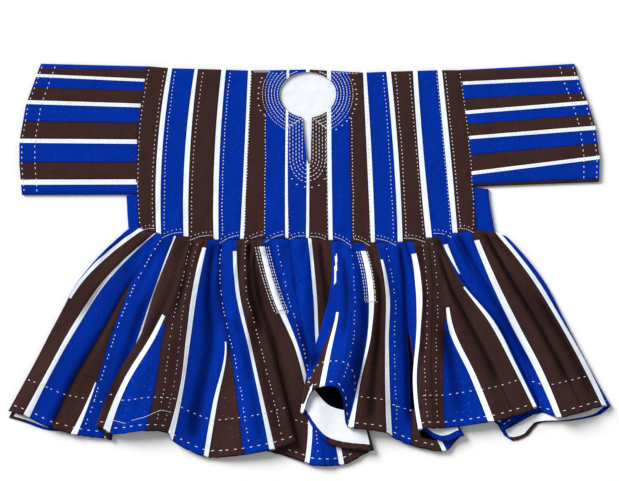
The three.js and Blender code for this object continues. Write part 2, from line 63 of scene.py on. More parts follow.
# Heights of the middle of each layer, and of the top of a flattened sleeve.
BACK_Z = 1.0
LINING_Z = 2.8
FRONT_Z = 6.9
SLEEVE_TOP = 7.6

# Gaps at the seams: between the body and the skirt, and round the sleeves and side gores.
WAIST_GAP = 0.3
SIDE_GAP = 0.4

# The neck opening, an oval with a slit below it, and the edges of the pieces: the shoulders and the waist by x, the
# armholes and the cuffs by y.
NECK = {"x": -3.6, "y": 343.0, "half_width": 57.0, "rise": 43.6, "drop": 48.0}
SLIT = [(-14.8, 300), (-11.2, 264), (-5.6, 212), (-2.2, 201), (2.6, 210), (3.0, 242), (4.8, 300)]
SHOULDER_LINE = [
    (-324, 398), (-279, 394), (-172, 391), (-109, 389), (-4, 391.5), (109, 385), (155, 387), (261, 390), (303, 390),
]
ARMHOLE_LEFT = [(398, -324), (332, -336), (273, -345), (194, -346), (135, -342), (74, -341)]
ARMHOLE_RIGHT = [(390, 303), (353, 306), (286, 314), (219, 322), (156, 326), (71, 332)]
WAIST_LINE = [
    (-362, 73), (-341, 74), (-299, 61), (-181, 50), (-3, 54), (89, 44), (189, 45), (249, 55), (332, 71),
    (372, 66), (395, 57),
]
CUFF_LEFT = [(403, -538), (320, -568), (246, -581), (202, -581), (141, -576)]
CUFF_RIGHT = [(403, 531), (372, 539), (325, 557), (274, 573), (215, 581), (167, 580)]

# Body strips from left to right: the colour, and x of the left edge at the shoulder, the chest and the waist.
# The last row is the right edge of the last one, as in the sleeves.
BODY_STRIPS = [
    (BROWN, -324.0, -346.0, -341.0), (WHITE, -283.0, -304.6, -306.6), (BLUE, -275.0, -294.8, -297.4),
    (WHITE, -229.6, -249.2, -252.0), (BROWN, -223.6, -239.4, -242.4), (WHITE, -176.0, -190.0, -192.0),
    (BLUE, -167.4, -180.0, -182.0), (WHITE, -122.8, -130.6, -139.0), (BROWN, -117.2, -124.8, -131.6),
    (BLUE, -87.0, -89.2, -90.6), (WHITE, -45.5, -48.4, -48.6), (BLUE, -40.5, -43.4, -42.4), (WHITE, -7.0, -5.6, -7.0),
    (BROWN, 0.0, -0.2, -1.0), (WHITE, 35.0, 35.4, 38.4), (BLUE, 43.0, 44.0, 46.4), (BROWN, 81.0, 81.4, 85.8),
    (WHITE, 107.4, 115.2, 123.2), (BLUE, 113.8, 124.4, 131.0), (WHITE, 153.8, 168.8, 176.8),
    (BROWN, 162.6, 178.0, 186.2), (WHITE, 207.0, 218.4, 233.6), (BLUE, 215.8, 228.4, 245.4),
    (WHITE, 256.2, 271.4, 286.8), (BROWN, 265.0, 282.0, 296.2), (BROWN, 303.0, 322.0, 332.0),
]

# Sleeve strips from top to bottom: the colour, and y of the upper edge at the cuff and at the body.
SLEEVE_STRIPS_LEFT = [
    (BLUE, 403.0, 397.6), (BROWN, 393.6, 392.4), (WHITE, 382.4, 372.6), (BLUE, 376.6, 367.0), (BROWN, 356.0, 349.0),
    (WHITE, 330.0, 323.0), (BLUE, 322.4, 315.6), (BROWN, 288.0, 284.8), (WHITE, 252.8, 251.2), (BLUE, 244.6, 242.6),
    (BROWN, 205.8, 205.8), (WHITE, 170.6, 171.4), (BLUE, 160.6, 161.4), (BLUE, 141.0, 141.6),
]
SLEEVE_STRIPS_RIGHT = [
    (BLUE, 403.0, 390.0), (BROWN, 396.0, 389.4), (WHITE, 378.2, 367.0), (BLUE, 371.4, 360.6), (BROWN, 344.8, 333.0),
    (WHITE, 328.6, 308.8), (BLUE, 321.6, 302.0), (BROWN, 301.4, 281.6), (WHITE, 278.8, 258.0), (BLUE, 270.8, 251.8),
    (BROWN, 244.2, 220.6), (WHITE, 219.0, 187.4), (BLUE, 212.0, 180.4), (BROWN, 173.2, 163.0), (BROWN, 167.0, 157.4),
]

# Lines of the front skirt: the colour to the right of it, x at the waist, a quarter, half and three quarters of the way
# down, x and y at the hem, the height at half way and at the hem, and +1 or -1 where the cloth doubles back over or
# under itself.
SKIRT_LINES = [
    (BLUE, -362, -453, -505.5, -553, -603, -292.5, 4.8, 4.8, 0),
    (WHITE, -341, -450.5, -503.8, -551.5, -601.5, -292.5, 5.1, 5.1, 0),
    (BROWN, -332.5, -442.5, -502.9, -550, -600, -292.5, 5.6, 5.6, 0),
    (WHITE, -310, -408.5, -472, -523, -573, -301, 12, 14, 0),
    (BLUE, -308, -401, -462.5, -515, -560.5, -306, 12, 14, 0),
    (BROWN, -299, -361, -415.5, -473, -518, -327, 9, 11, 0),
    (WHITE, -296, -357.5, -399.5, -430.5, -478, -338, 8.4, 8, 0),
    (BLUE, -294.5, -356.5, -398, -428.5, -466, -341, 8, 8, 0),
    (WHITE, -271, -309, -343.5, -380, -412, -348, 6.5, 6, 0),
    (BROWN, -267, -303.5, -336, -372, -397, -351, 8.5, 8.5, 1),
    (BROWN, -263, -299, -333.5, -389.5, -427, -325, 15, 15, 1),
    (WHITE, -247.5, -268.5, -313.5, -372, -412, -327, 19, 18, 0),
    (BLUE, -246, -266.8, -306, -364, -400, -337, 19.6, 19, 0),
    (BROWN, -244, -264.5, -292, -306.5, -327, -331, 21, 23, 0),
    (WHITE, -210, -233, -246, -258, -283, -337, 16, 15, 0),
    (BLUE, -203, -224, -238.5, -253, -274, -352, 13, 12, 0),
    (WHITE, -181, -185, -169, -193, -212, -384, 9, 8, 0),
    (BROWN, -179.5, -183.7, -166, -185, -203, -386, 9.5, 8, 0),
    (BLUE, -178, -182.6, -161, -144.5, -132, -380, 10.4, 16, 0),
    (WHITE, -153, -147, -123, -100.5, -80, -370, 20, 20, 0),
    (BROWN, -146, -140, -117, -93.5, -69, -368, 18, 18, 0),
    (BROWN, -112, -108, -78.5, -53, -27, -356, 14, 14, -1),
    (BROWN, -110, -104, -72, -70, -85, -374, 7.6, 7.6, -1),
    (WHITE, -101, -75, -27, -4, -10, -396, 5, 5, 0),
    (BLUE, -95, -62, -19, 4.5, -1, -400, 5, 5, 0),
    (BLUE, -40, -27, -3, 14, 32, -403, 8, 9, 0),
    (WHITE, -3, 7.3, 14.5, 38, 60, -402, 5.5, 5, 0),
    (BROWN, 3.5, 14.3, 21.5, 47, 70, -401, 5, 5, 0),
    (BROWN, 38, 52, 76, 102, 128, -372, 8, 8, 1),
    (BLUE, 41.5, 48, 48, 42, 34, -356, 12, 12, 0),
    (BLUE, 45, 44, 24, -3, -17, -296, 16, 16, 1),
    (BROWN, 49, 56, 51, 23, 4, -252, 22, 27, 0),
    (WHITE, 51, 57.5, 53.2, 35, 20, -243, 23.5, 38, 0),
    (BLUE, 53, 59, 58, 43.5, 30, -241, 26, 44, 0),
    (BLUE, 77, 82, 84, 74, 52, -242, 33, 48, 0),
    (BLUE, 89, 100, 103, 94, 66, -268, 28, 39, 0),
    (WHITE, 98, 117, 116, 98, 76, -324, 22, 21, 0),
    (BROWN, 107, 128, 122.5, 102, 88, -326, 25, 25, 0),
    (WHITE, 134, 151.5, 151, 151, 154, -336, 18, 18, 0),
    (BLUE, 136, 159, 158, 160, 165, -344, 15, 14, 0),
    (BROWN, 186, 194, 198.5, 202, 204, -362, 7, 6, 0),
    (WHITE, 187.5, 195.7, 203, 225, 267, -374, 6.4, 6, 0),
    (BLUE, 188.5, 197.2, 205.5, 230, 275, -372, 6.4, 6, 0),
    (BLUE, 190.5, 203, 222, 262, 309, -342, 9, 9, 1),
    (BLUE, 195, 209.5, 218, 236, 270, -354, 12.3, 12.3, 0),
    (WHITE, 199, 216, 214, 207.5, 219, -330, 15.6, 15.6, 1),
    (BROWN, 206.5, 224.5, 221, 214, 226, -327, 22, 24, 0),
    (BROWN, 237, 245, 243, 243, 249, -325, 24, 26, 0),
    (BLUE, 249, 268, 269, 266, 269.5, -326, 19, 20, 0),
    (WHITE, 250.5, 269.8, 279, 321, 357, -314, 19.5, 20, 0),
    (BROWN, 252, 271.3, 288.5, 332, 369, -312, 20.5, 24, 0),
    (BROWN, 254, 278, 325, 370, 407, -302, 20, 23, 0),
    (WHITE, 257, 297.5, 360, 406, 448.5, -288, 18, 18, 0),
    (BLUE, 260.5, 303, 372.5, 416.5, 458, -284, 15, 15, -1),
    (WHITE, 263, 306.5, 376, 384, 383, -331, 8.5, 8.5, -1),
    (BLUE, 271, 313, 384, 396, 395, -329, 8, 8, 0),
    (BLUE, 283, 335, 392, 436, 462, -296, 6, 7, 0),
    (WHITE, 322, 359, 403, 452, 493, -304, 14, 15, 0),
    (BROWN, 332, 370.5, 416.5, 465, 503.5, -304, 21, 24, 0),
    (BROWN, 351, 400, 454, 503, 546, -293.5, 19, 22, 0),
    (WHITE, 372, 440, 495, 543, 585, -283, 12, 12, 0),
    (BLUE, 384, 453, 505, 554, 594.5, -283, 8, 8, 0),
    (BLUE, 395, 466.5, 511.5, 556, 603, -284, 4.8, 4.8, 0),
]
# Half the height between the layers at a crease, how far its round reaches into them at the waist and lower down, and
# the part of the way down by which the pleats have their height.
FOLD_RISE = 3.0
FOLD_REACH = (0.4, 4.0)
FOLD_START = 0.3

# Where a strip dives into a fold, the colour that shows in its place: the line, the parts of the way down between which
# it holds, and the colour. A fraction after the line is the part of the way to the next one from which it holds. The
# painted shadow tone stands for the dark deep inside the open flutes, where the cloth lies in shade.
HIDDEN = [
    (0, 0.42, 1.0, BROWN), (1, 0.38, 1.0, BROWN), (5, 0.0, 0.26, BLUE), (6, 0.0, 0.26, BLUE), (6, 0.26, 0.74, BROWN),
    (11, 0.0, 0.40, BROWN), (12, 0.0, 0.45, BROWN), (16, 0.0, 0.47, BLUE), (17, 0.0, 0.50, BLUE), (28, 0.4, 0.82, PAINTED_SHADOW),
    (29, 0.4, 0.82, PAINTED_SHADOW), (30, 0.8, 0.95, BROWN), (30, 0.95, 1.0, WHITE), (31, 0.0, 0.58, BLUE),
    (31, 0.09, 0.14, WHITE), (30.6, 0.1, 0.2, WHITE), (30.2, 0.15, 0.26, WHITE), (30.7, 0.2, 0.26, BLUE),
    (32, 0.0, 0.49, BLUE), (38, 0.0, 0.09, BLUE), (40, 0.0, 0.45, BLUE), (40, 0.45, 0.82, PAINTED_SHADOW),
    (40.35, 0.82, 0.95, PAINTED_SHADOW), (41, 0.0, 0.45, BLUE), (41, 0.45, 0.93, BROWN), (48, 0.0, 0.45, BROWN),
    (49, 0.0, 0.385, BROWN), (52, 0.0, 0.29, BROWN), (54, 0.0, 0.045, BLUE), (54, 0.2, 1.0, BLUE),
    (14, 0.0, 0.04, BROWN), (19, 0.0, 0.05, BLUE), (23, 0.0, 0.03, BROWN), (36, 0.0, 0.05, BLUE), (45, 0.0, 0.06, BLUE),
    (57, 0.0, 0.05, BROWN),
]

# Valleys of the front skirt: the line to the left, the part of the way to the next one, the parts of the way down where
# it starts and ends, its depth and its half width.
VALLEYS = [
    (5, 0.0, 0.12, 1.05, 5.0, 7.0), (3, 0.5, 0.0, 0.5, 3.0, 9.0), (7, 0.8, 0.25, 0.95, 4.0, 11.0),
    (10, 0.6, 0.0, 0.6, 4.0, 8.0), (13, 0.35, 0.0, 0.5, 3.5, 7.0), (15, 0.55, 0.0, 1.0, 6.0, 12.0),
    (18, 0.12, 0.0, 0.6, 4.0, 7.0), (18, 0.75, 0.3, 1.0, 3.0, 9.0), (20, 0.8, 0.0, 0.5, 7.0, 9.0),
    (20, 0.4, 0.35, 1.0, 3.0, 10.0), (24, 0.75, 0.3, 0.85, 6.0, 11.0), (24, 0.2, 0.0, 0.4, 3.0, 8.0),
    (27, 0.5, 0.0, 0.4, 5.0, 9.0), (33, 0.6, 0.05, 0.7, 4.0, 9.0), (35, 0.5, 0.3, 0.9, 3.0, 10.0),
    (37, 0.5, 0.1, 1.0, 5.0, 9.0), (39, 0.9, 0.0, 0.95, 6.0, 8.0), (46, 0.3, 0.0, 0.7, 3.5, 8.0),
    (48, 0.4, 0.4, 1.0, 4.0, 12.0), (50, 0.9, 0.05, 0.85, 5.5, 8.0), (56, 0.4, 0.0, 0.8, 4.0, 10.0),
    (58, 0.95, 0.0, 0.9, 5.0, 9.0), (59, 0.75, 0.3, 1.0, 3.5, 10.0),
]

# The back skirt, flat beneath: the colour to the right of a line, then x at the waist, a quarter, half and three
# quarters of the way down, and x and y at the hem.
BACK_LINES = [
    (BROWN, -362, -453, -505.5, -553, -603, -306), (BLUE, -341, -425, -472, -521, -570, -316),
    (BLUE, -299, -367, -418, -469, -520, -332), (BROWN, -181, -228, -266, -305, -345, -326),
    (WHITE, -120, -150, -178, -205, -232, -329), (BLUE, -60, -78, -93, -106, -119, -334),
    (BROWN, -3, -4, -5.5, -7, -8, -330), (WHITE, 89, 102, 115, 128, 140, -326), (BLUE, 189, 213, 240, 270, 300, -318),
    (BLUE, 220, 252, 288, 325, 363, -310), (BLUE, 230, 263, 300, 338, 377, -320),
    (BLUE, 240, 274, 312, 351, 391, -343), (BROWN, 249, 285, 325, 366, 407, -353),
    (BROWN, 272, 312, 355, 397, 439, -341), (BROWN, 290, 330, 373, 415, 458, -319),
    (BLUE, 332, 392, 440, 485, 529, -312), (BLUE, 372, 446, 491, 538, 584, -299),
    (BROWN, 395, 466.5, 511.5, 556, 603, -284),
]

# Lines of the back skirt whose edge rolls over the lining, and how far up the lining stops for it.
ROLLED_HEM = {10: 8, 11: 24, 12: 6}

# Soft creases pressed into the flat panels: x and y of the middle, direction in degrees, length, width and depth, with
# a ridge where the depth is negative.
CREASES = [
    (-300, 110, 62, 90, 16, 1.1), (-262, 96, 80, 70, 14, -0.8), (-205, 92, 74, 110, 18, 0.9),
    (-150, 88, 96, 80, 14, -0.7), (-100, 90, 84, 90, 16, 0.8), (-20, 86, 98, 70, 16, 0.7), (60, 88, 82, 100, 18, -0.8),
    (112, 84, 104, 80, 14, 0.9), (170, 92, 98, 110, 18, -0.7), (225, 96, 108, 90, 16, 1.0),
    (285, 116, 118, 100, 18, 1.1), (310, 180, 66, 60, 12, -0.8), (-322, 180, 112, 70, 14, 0.9),
    (-300, 350, 48, 80, 20, 0.8), (-200, 250, 86, 160, 22, -0.6), (-120, 200, 92, 120, 18, 0.5),
    (90, 230, 88, 140, 18, 0.6), (200, 270, 94, 150, 24, -0.6), (265, 330, 128, 90, 20, 0.8),
    (-430, 352, 4, 150, 18, 0.8), (-480, 250, -6, 130, 22, -0.7), (-400, 200, 8, 120, 16, 0.8),
    (-520, 180, 16, 90, 16, 0.7), (-372, 290, 74, 90, 18, -0.6), (400, 350, -8, 140, 18, 0.8),
    (470, 270, 6, 150, 20, -0.7), (380, 210, -12, 110, 16, 0.9), (530, 220, -70, 90, 16, 0.7),
    (352, 300, 100, 90, 18, -0.7),
]

# How far a soft crease bends to the side, and over what length.
CREASE_BEND = 4.0
CREASE_WAVE = 28.0

# Waves in the cloth and in the sewing: height, length, what y is multiplied by, and a seed.
WAVES = {
    "body drape": (1.2, 60.0, 0.5, 0.0),
    "body pucker": (0.45, 17.0, 1.0, 5.0),
    "body gathers": (1.44, 9.0, 0.25, 3.0),
    "sleeve drape": (0.9, 48.0, 1.0, 2.0),
    "sleeve pucker": (0.4, 15.0, 1.0, 6.0),
    "gore": (0.3, 3.0, 1.0, 4.0),
    "pleat": (6.0, 9.0, 0.1, 1.0),
    "fold": (6.0, 24.0, 0.16, 2.0),
    "skirt drape": (0.9, 26.0, 0.7, 8.0),
    "skirt pucker": (0.5, 11.0, 1.0, 9.0),
    "hem height": (1.2, 13.0, 1.0, 7.0),
    "hem side": (0.5, 15.0, 1.0, 11.0),
    "hem drop": (2.2, 11.0, 0.0, 12.0),
    "neck lining": (0.35, 22.0, 1.0, 20.0),
    "pocket edge": (0.6, 3.0, 1.0, 0.0),
    "stitch length": (1.0, 2.0, 1.0, 30.0),
    "stitch place": (1.0, 5.0, 1.0, 31.0),
}


# Arithmetic on the tables


def mix(a, b, t):
    return a + (b - a) * t


def clamp(value, low=0.0, high=1.0):
    return min(high, max(low, value))


def ease(value):
    t = clamp(value)
    return t * t * (3 - 2 * t)


def across(line, value):
    """The second coordinate of a polyline at a value of the first one."""
    sign = 1 if line[-1][0] > line[0][0] else -1
    k = 0
    while k < len(line) - 2 and (value - line[k + 1][0]) * sign > 0:
        k += 1
    (a, c), (b, d) = line[k], line[k + 1]
    return mix(c, d, clamp((value - a) / (b - a)))


def flare(values, v):
    """A smooth curve through evenly spaced values from the waist to the hem."""
    last = len(values) - 1
    slopes = [0.0] + [(c - a) / 2 for a, c in zip(values, values[2:])] + [0.0]
    slopes[0] = 2 * (values[1] - values[0]) - slopes[1]
    slopes[last] = 2 * (values[last] - values[last - 1]) - slopes[last - 1]
    k = min(last - 1, int(v * last))
    t = v * last - k
    return mix(values[k], values[k + 1], ease(t)) + (slopes[k] * (1 - t) - slopes[k + 1] * t) * t * (1 - t)


def through_three(values, t):
    """The parabola through values at 0, a half and 1."""
    a, b, c = values
    return a * (1 - t) * (1 - 2 * t) + b * 4 * t * (1 - t) + c * t * (2 * t - 1)


def crease_depth(x, y):
    """How far the soft creases push the cloth down at a place."""
    depth = 0.0
    for cx, cy, degrees, length, width, deep in CREASES:
        c, s = math.cos(math.radians(degrees)), math.sin(math.radians(degrees))
        dx, dy = x - cx, y - cy
        along, beside = dx * c + dy * s, -dx * s + dy * c
        if abs(along) < length and abs(beside) < width * 2:
            bend = beside + CREASE_BEND * math.sin(along / CREASE_WAVE)
            depth += deep * bell(bend, width / 2) * (1 - ease(abs(along) / length))
    return depth


def wave(name, x, y):
    """The height of a named wave at a place."""
    height, length, squeeze, seed = WAVES[name]
    return height * noise.noise(Vector((x / length, y * squeeze / length, seed)))


def bell(distance, width):
    """A smooth bump of height 1 that fades over a width."""
    return math.exp(-(distance / width) ** 2)


def evenly(count):
    """The values that part the way from 0 to 1 into count equal spaces."""
    return [k / count for k in range(count + 1)]


def spread(row, steps):
    """A row of points with steps[k] equal spaces between neighbours k and k + 1."""
    line = []
    for start, end, count in zip(row, row[1:], steps):
        line += [tuple(mix(a, b, m / count) for a, b in zip(start, end)) for m in range(count)]
    return line + [row[-1]]


def smooth_columns(rows, steps):
    """Rows of points with steps[k] spaces between neighbours k and k + 1, on a smooth curve through them."""
    result = []
    for row in rows:
        before, after = (tuple(2 * a - b for a, b in zip(*pair)) for pair in (row[:2], row[:-3:-1]))
        cage = [before, *row, after]
        knots = [0.0]
        for a, b in zip(cage, cage[1:]):
            knots.append(knots[-1] + max(1e-3, math.dist(a, b)) ** 0.5)
        line = []
        for k, count in enumerate(steps):
            for m in range(count):
                t = mix(knots[k + 1], knots[k + 2], m / count)
                line.append(curve_point(cage[k:k + 4], knots[k:k + 4], t))
        result.append(line + [row[-1]])
    return result


def curve_point(points, knots, t):
    """A centripetal Catmull-Rom curve through four points at t, which lies between the second and third knots."""

    def between(a, b, low, high):
        return tuple(mix(c, d, (t - low) / (high - low)) for c, d in zip(a, b))

    spans = [between(*place) for place in zip(points, points[1:], knots, knots[1:])]
    bends = [between(*place) for place in zip(spans, spans[1:], knots, knots[2:])]
    return between(*bends, *knots[1:3])


# Settings a user would change


def size(name, description, millimetres):
    return bpy.props.FloatProperty(name=name, description=description, default=millimetres * MM, unit="LENGTH")


def tint(name, description, default):
    return bpy.props.FloatVectorProperty(name=name, description=description, default=default, subtype="COLOR")


class SmockSizes(bpy.types.PropertyGroup):
    """Sizes of the cloth"""

    body_cloth: size("Body cloth", "Thickness of the lined front body", 2.4)
    skirt_cloth: size("Skirt cloth", "Thickness of the skirt", 1.9)
    back_cloth: size("Back cloth", "Thickness of the back, sleeves and gores", 1.8)
    lining_cloth: size("Lining", "Thickness of the white lining", 0.8)
    slub: size("Slub", "Height of the uneven yarns in the cloth", 0.4)


class SmockColours(bpy.types.PropertyGroup):
    """Colours of the yarns"""

    blue: tint("Blue", "Royal blue yarn", (0.0003, 0.0235, 0.288))
    brown: tint("Brown", "Dark brown yarn", (0.0360, 0.0162, 0.0147))
    white: tint("White", "White yarn", (0.80, 0.86, 0.95))
    lining: tint("Lining", "Plain white lining", (0.84, 0.87, 0.92))
    thread: tint("Thread", "White sewing thread", (0.80, 0.80, 0.86))
    floor: tint("Floor", "Plain white surface", (0.93, 0.93, 0.93))


# Materials


def maths(operation, swapped=False):
    """A Python operator on wires and numbers that adds its Math node."""

    def method(self, other):
        inputs = [other, self] if swapped else [self, other]
        return self.finish.node("ShaderNodeMath", {"operation": operation}, inputs)

    return method


class Wire:
    """A node's output, so that shader maths reads as an expression."""

    __add__ = maths("ADD")
    __radd__ = maths("ADD", swapped=True)
    __sub__ = maths("SUBTRACT")
    __rsub__ = maths("SUBTRACT", swapped=True)
    __mul__ = maths("MULTIPLY")
    __rmul__ = maths("MULTIPLY", swapped=True)
    __gt__ = maths("GREATER_THAN")
    __lt__ = maths("LESS_THAN")

    def __init__(self, finish, socket):
        self.finish = finish
        self.socket = socket

    def sine(self):
        return self.finish.node("ShaderNodeMath", {"operation": "SINE"}, [self])

    def part(self, name):
        return Wire(self.finish, self.socket.node.outputs[name])


class Finish:
    """A material whose nodes are added one after the other."""

    def __init__(self, name, roughness=0.9, sheen=0.0):
        self.material = bpy.data.materials.new(name)
        self.material.use_nodes = True
        self.tree = self.material.node_tree
        self.surface = next(n for n in self.tree.nodes if n.type == "BSDF_PRINCIPLED")
        self.surface.inputs["Roughness"].default_value = roughness
        self.surface.inputs["Sheen Weight"].default_value = sheen
        self.surface.inputs["Sheen Roughness"].default_value = 0.5
        self.surface.inputs["Specular IOR Level"].default_value = 0.03

    def node(self, kind, settings=None, inputs=None):
        """Adds a node, sets it and joins its inputs, which are a list or a dict, and gives its first output."""
        made = self.tree.nodes.new(kind)
        for key, value in (settings or {}).items():
            setattr(made, key, value)
        items = inputs.items() if isinstance(inputs, dict) else enumerate(inputs or [])
        for key, value in items:
            self.join(value, made.inputs[key])
        return Wire(self, made.outputs[0])

    def join(self, value, socket):
        if isinstance(value, Wire):
            self.tree.links.new(value.socket, socket)
        else:
            socket.default_value = value

    def blend(self, first, second, factor, mode="MIX"):
        """Two colours mixed by a factor."""
        made = self.tree.nodes.new("ShaderNodeMix")
        made.data_type = "RGBA"
        made.blend_type = mode
        self.join(factor, made.inputs[0])
        self.join(first, made.inputs[6])
        self.join(second, made.inputs[7])
        return Wire(self, made.outputs[2])

    def noise(self, vector, scale, detail=2.0, rough=0.5):
        """Noise from 0 to 1."""
        inputs = {"Vector": vector, "Scale": scale, "Detail": detail, "Roughness": rough}
        return self.node("ShaderNodeTexNoise", {}, inputs)

    def stretched(self, vector, x, y, z=1.0):
        return self.node("ShaderNodeMapping", {}, {"Vector": vector, "Scale": (x, y, z)})

    def uv(self, layer):
        return self.node("ShaderNodeUVMap", {"uv_map": layer})

    def bump(self, height, distance, strength=1.0, below=None):
        inputs = {"Height": height, "Distance": distance, "Strength": strength}
        if below is not None:
            inputs["Normal"] = below
        return self.node("ShaderNodeBump", {}, inputs)

    def finish(self, colour, normal=None, roughness=None):
        self.join(colour, self.surface.inputs["Base Color"])
        if normal is not None:
            self.join(normal, self.surface.inputs["Normal"])
        if roughness is not None:
            self.join(roughness, self.surface.inputs["Roughness"])
        return self.material


def sizes():
    """The user's sizes."""
    return bpy.context.scene.smock_sizes


def solid(colour, shade=1.0):
    return tuple(channel * shade for channel in colour) + (1.0,)


# What the strips turn to: pale specks in the yarn, a painted shadow deep inside a fold, the tint of painted shade in a
# valley, the shadow beside a seam, and the dark last rows of every strip, which are the frayed edge at the hem and a
# painted seam shadow at the body's waist.
SPECKS = (0.75, 0.78, 0.86, 1.0)
PAINTED_SHADOW_COLOUR = (0.0006, 0.0007, 0.0015, 1.0)
PAINTED_SHADE_TINT = (0.16, 0.15, 0.2, 1.0)
SEAM_SHADOW = (0.0015, 0.002, 0.006, 1.0)
FRAYED_HEM_AND_SEAM_SHADOW = (0.006, 0.005, 0.012, 1.0)


def woven_cloth():
    """Handwoven strips in three colours, picked by each face's tone, with uneven yarns, fading and dark seams.

    Painted shade darkens valleys, pleats and folds, a painted shadow fills the deep inside of the flutes, and the last
    rows of every strip darken: the frayed hem on the skirt, and a painted seam shadow along the body's waist.
    """
    colours = bpy.context.scene.smock_colours
    m = Finish("woven_strips", roughness=0.92)
    tone = m.node("ShaderNodeAttribute", {"attribute_name": "tone"}).part("Fac")
    # The shade attribute is painted shade: how far each point lies down in a valley, a pleat or a fold.
    painted_shade = m.node("ShaderNodeAttribute", {"attribute_name": "shade"}).part("Fac")
    cloth = m.uv("Cloth")
    band = m.node("ShaderNodeSeparateXYZ", {}, [m.uv("Band")])
    fading = m.noise(cloth, 14.0, 3.0, 0.55)
    streaks = m.noise(m.stretched(cloth, 620.0, 22.0), 1.0)
    picks = m.noise(m.stretched(cloth, 40.0, 700.0), 1.0)
    specks = m.noise(cloth, 900.0, 1.0)

    def yarn(colour, dull, bright):
        base = m.blend(solid(colour, dull), solid(colour, bright), fading)
        return m.blend(base, solid(colour, bright * 1.12), (streaks * picks) * 1.2)

    colour = m.blend(yarn(colours.blue, 0.78, 1.2), yarn(colours.brown, 0.72, 1.35), tone > 0.5)
    colour = m.blend(colour, yarn(colours.white, 0.93, 1.05), tone > 1.5)
    colour = m.blend(colour, SPECKS, (specks > 0.735) * 0.22)
    # Painted shadow: faces whose tone marks the deep inside of a fold turn near black.
    colour = m.blend(colour, PAINTED_SHADOW_COLOUR, tone > 2.5)
    # Painted shade: the colour darkens towards the valley tint by the shade attribute.
    colour = m.blend(colour, m.blend(colour, PAINTED_SHADE_TINT, 1.0, "MULTIPLY"), painted_shade)
    side = band.part("X") + 0.08 * (m.noise(cloth, 260.0, 1.0) - 0.5)
    edge = (side < 0.05) + (side > 0.95)
    colour = m.blend(colour, SEAM_SHADOW, edge * (tone < 1.5) * 0.4)
    # Darker at the last rows of every strip: a frayed edge at the skirt's hem, and a painted seam shadow along the
    # body's waist.
    down = band.part("Y") + 0.02 * (m.noise(cloth, 210.0, 1.0) - 0.5)
    colour = m.blend(colour, FRAYED_HEM_AND_SEAM_SHADOW, (down > 0.983) * 0.85)
    weave = m.node("ShaderNodeSeparateXYZ", {}, [m.stretched(cloth, 5200.0, 4200.0)])
    normal = m.bump(weave.part("X").sine() * weave.part("Y").sine(), 0.12 * MM, 0.5)
    normal = m.bump(streaks + picks, sizes().slub, 0.55, normal)
    normal = m.bump(m.noise(cloth, 75.0, 3.0, 0.6), 1.3 * MM, 0.5, normal)
    return m.finish(colour, normal, 0.86 + 0.1 * fading)


def plain_cloth(name, colour, shade_low, shade_high):
    """Plain woven cotton in one colour, with faint creases."""
    m = Finish(name, roughness=0.95, sheen=0.08)
    place = m.node("ShaderNodeTexCoord").part("Object")
    patches = m.noise(place, 22.0, 3.0)
    yarns = m.noise(m.stretched(place, 900.0, 900.0, 900.0), 1.0, 1.0)
    tone = m.blend(solid(colour, shade_low), solid(colour, shade_high), patches)
    tone = m.blend(tone, solid(colour, shade_low * 0.96), (yarns > 0.62) * 0.3)
    normal = m.bump(yarns, 0.15 * MM, 0.5)
    normal = m.bump(m.noise(place, 60.0, 2.0), 1.2 * MM, 0.5, normal)
    return m.finish(tone, normal, 0.9 + 0.08 * patches)


def sewing_thread():
    """Twisted white cotton thread, a little greyed in patches."""
    colour = bpy.context.scene.smock_colours.thread
    m = Finish("sewing_thread", roughness=0.8, sheen=0.15)
    place = m.node("ShaderNodeTexCoord").part("Object")
    worn = m.noise(place, 160.0, 2.0)
    twist = m.noise(place, 2400.0, 1.0)
    tone = m.blend(solid(colour, 0.72), solid(colour, 1.1), worn)
    return m.finish(tone, m.bump(twist, 0.2 * MM, 0.6), 0.72 + 0.2 * worn)


def floor_finish():
    m = Finish("white_surface", roughness=0.9)
    place = m.node("ShaderNodeTexCoord").part("Object")
    colour = bpy.context.scene.smock_colours.floor
    return m.finish(m.blend(solid(colour), solid(colour, 0.995), m.noise(place, 3.0)))


MATERIALS = {}


def material(name):
    """The named material, made when it is first asked for."""
    colours = bpy.context.scene.smock_colours
    makers = {
        "woven": woven_cloth,
        "lining": lambda: plain_cloth("white_lining", colours.lining, 0.94, 1.04),
        "thread": sewing_thread,
        "floor": floor_finish,
    }
    if name not in MATERIALS:
        MATERIALS[name] = makers[name]()
    return MATERIALS[name]


# Cloth from a grid of points


# Faces that meet at less than this are shaded as one.
CREASE_ANGLE = math.radians(50)


def add_grid(name, columns, rows):
    """A flat grid with that many points each way, and each point's column and row."""
    bpy.ops.object.select_all(action="DESELECT")
    bpy.ops.mesh.primitive_grid_add(x_subdivisions=columns - 1, y_subdivisions=rows - 1, size=1.0)
    made = bpy.context.object
    made.name = made.data.name = name
    flat = np.zeros(columns * rows * 3)
    made.data.vertices.foreach_get("co", flat)
    flat = flat.reshape(-1, 3)
    column = np.rint((flat[:, 0] + 0.5) * (columns - 1)).astype(int)
    row = np.rint((0.5 - flat[:, 1]) * (rows - 1)).astype(int)
    return made, column, row


def read(items, field):
    """A whole number from each item of a mesh, as an array."""
    values = np.zeros(len(items), dtype=int)
    items.foreach_get(field, values)
    return values


def run(points):
    """The length of a line of points up to each of them."""
    return np.concatenate([[0], np.cumsum(np.linalg.norm(np.diff(points, axis=0), axis=1))])


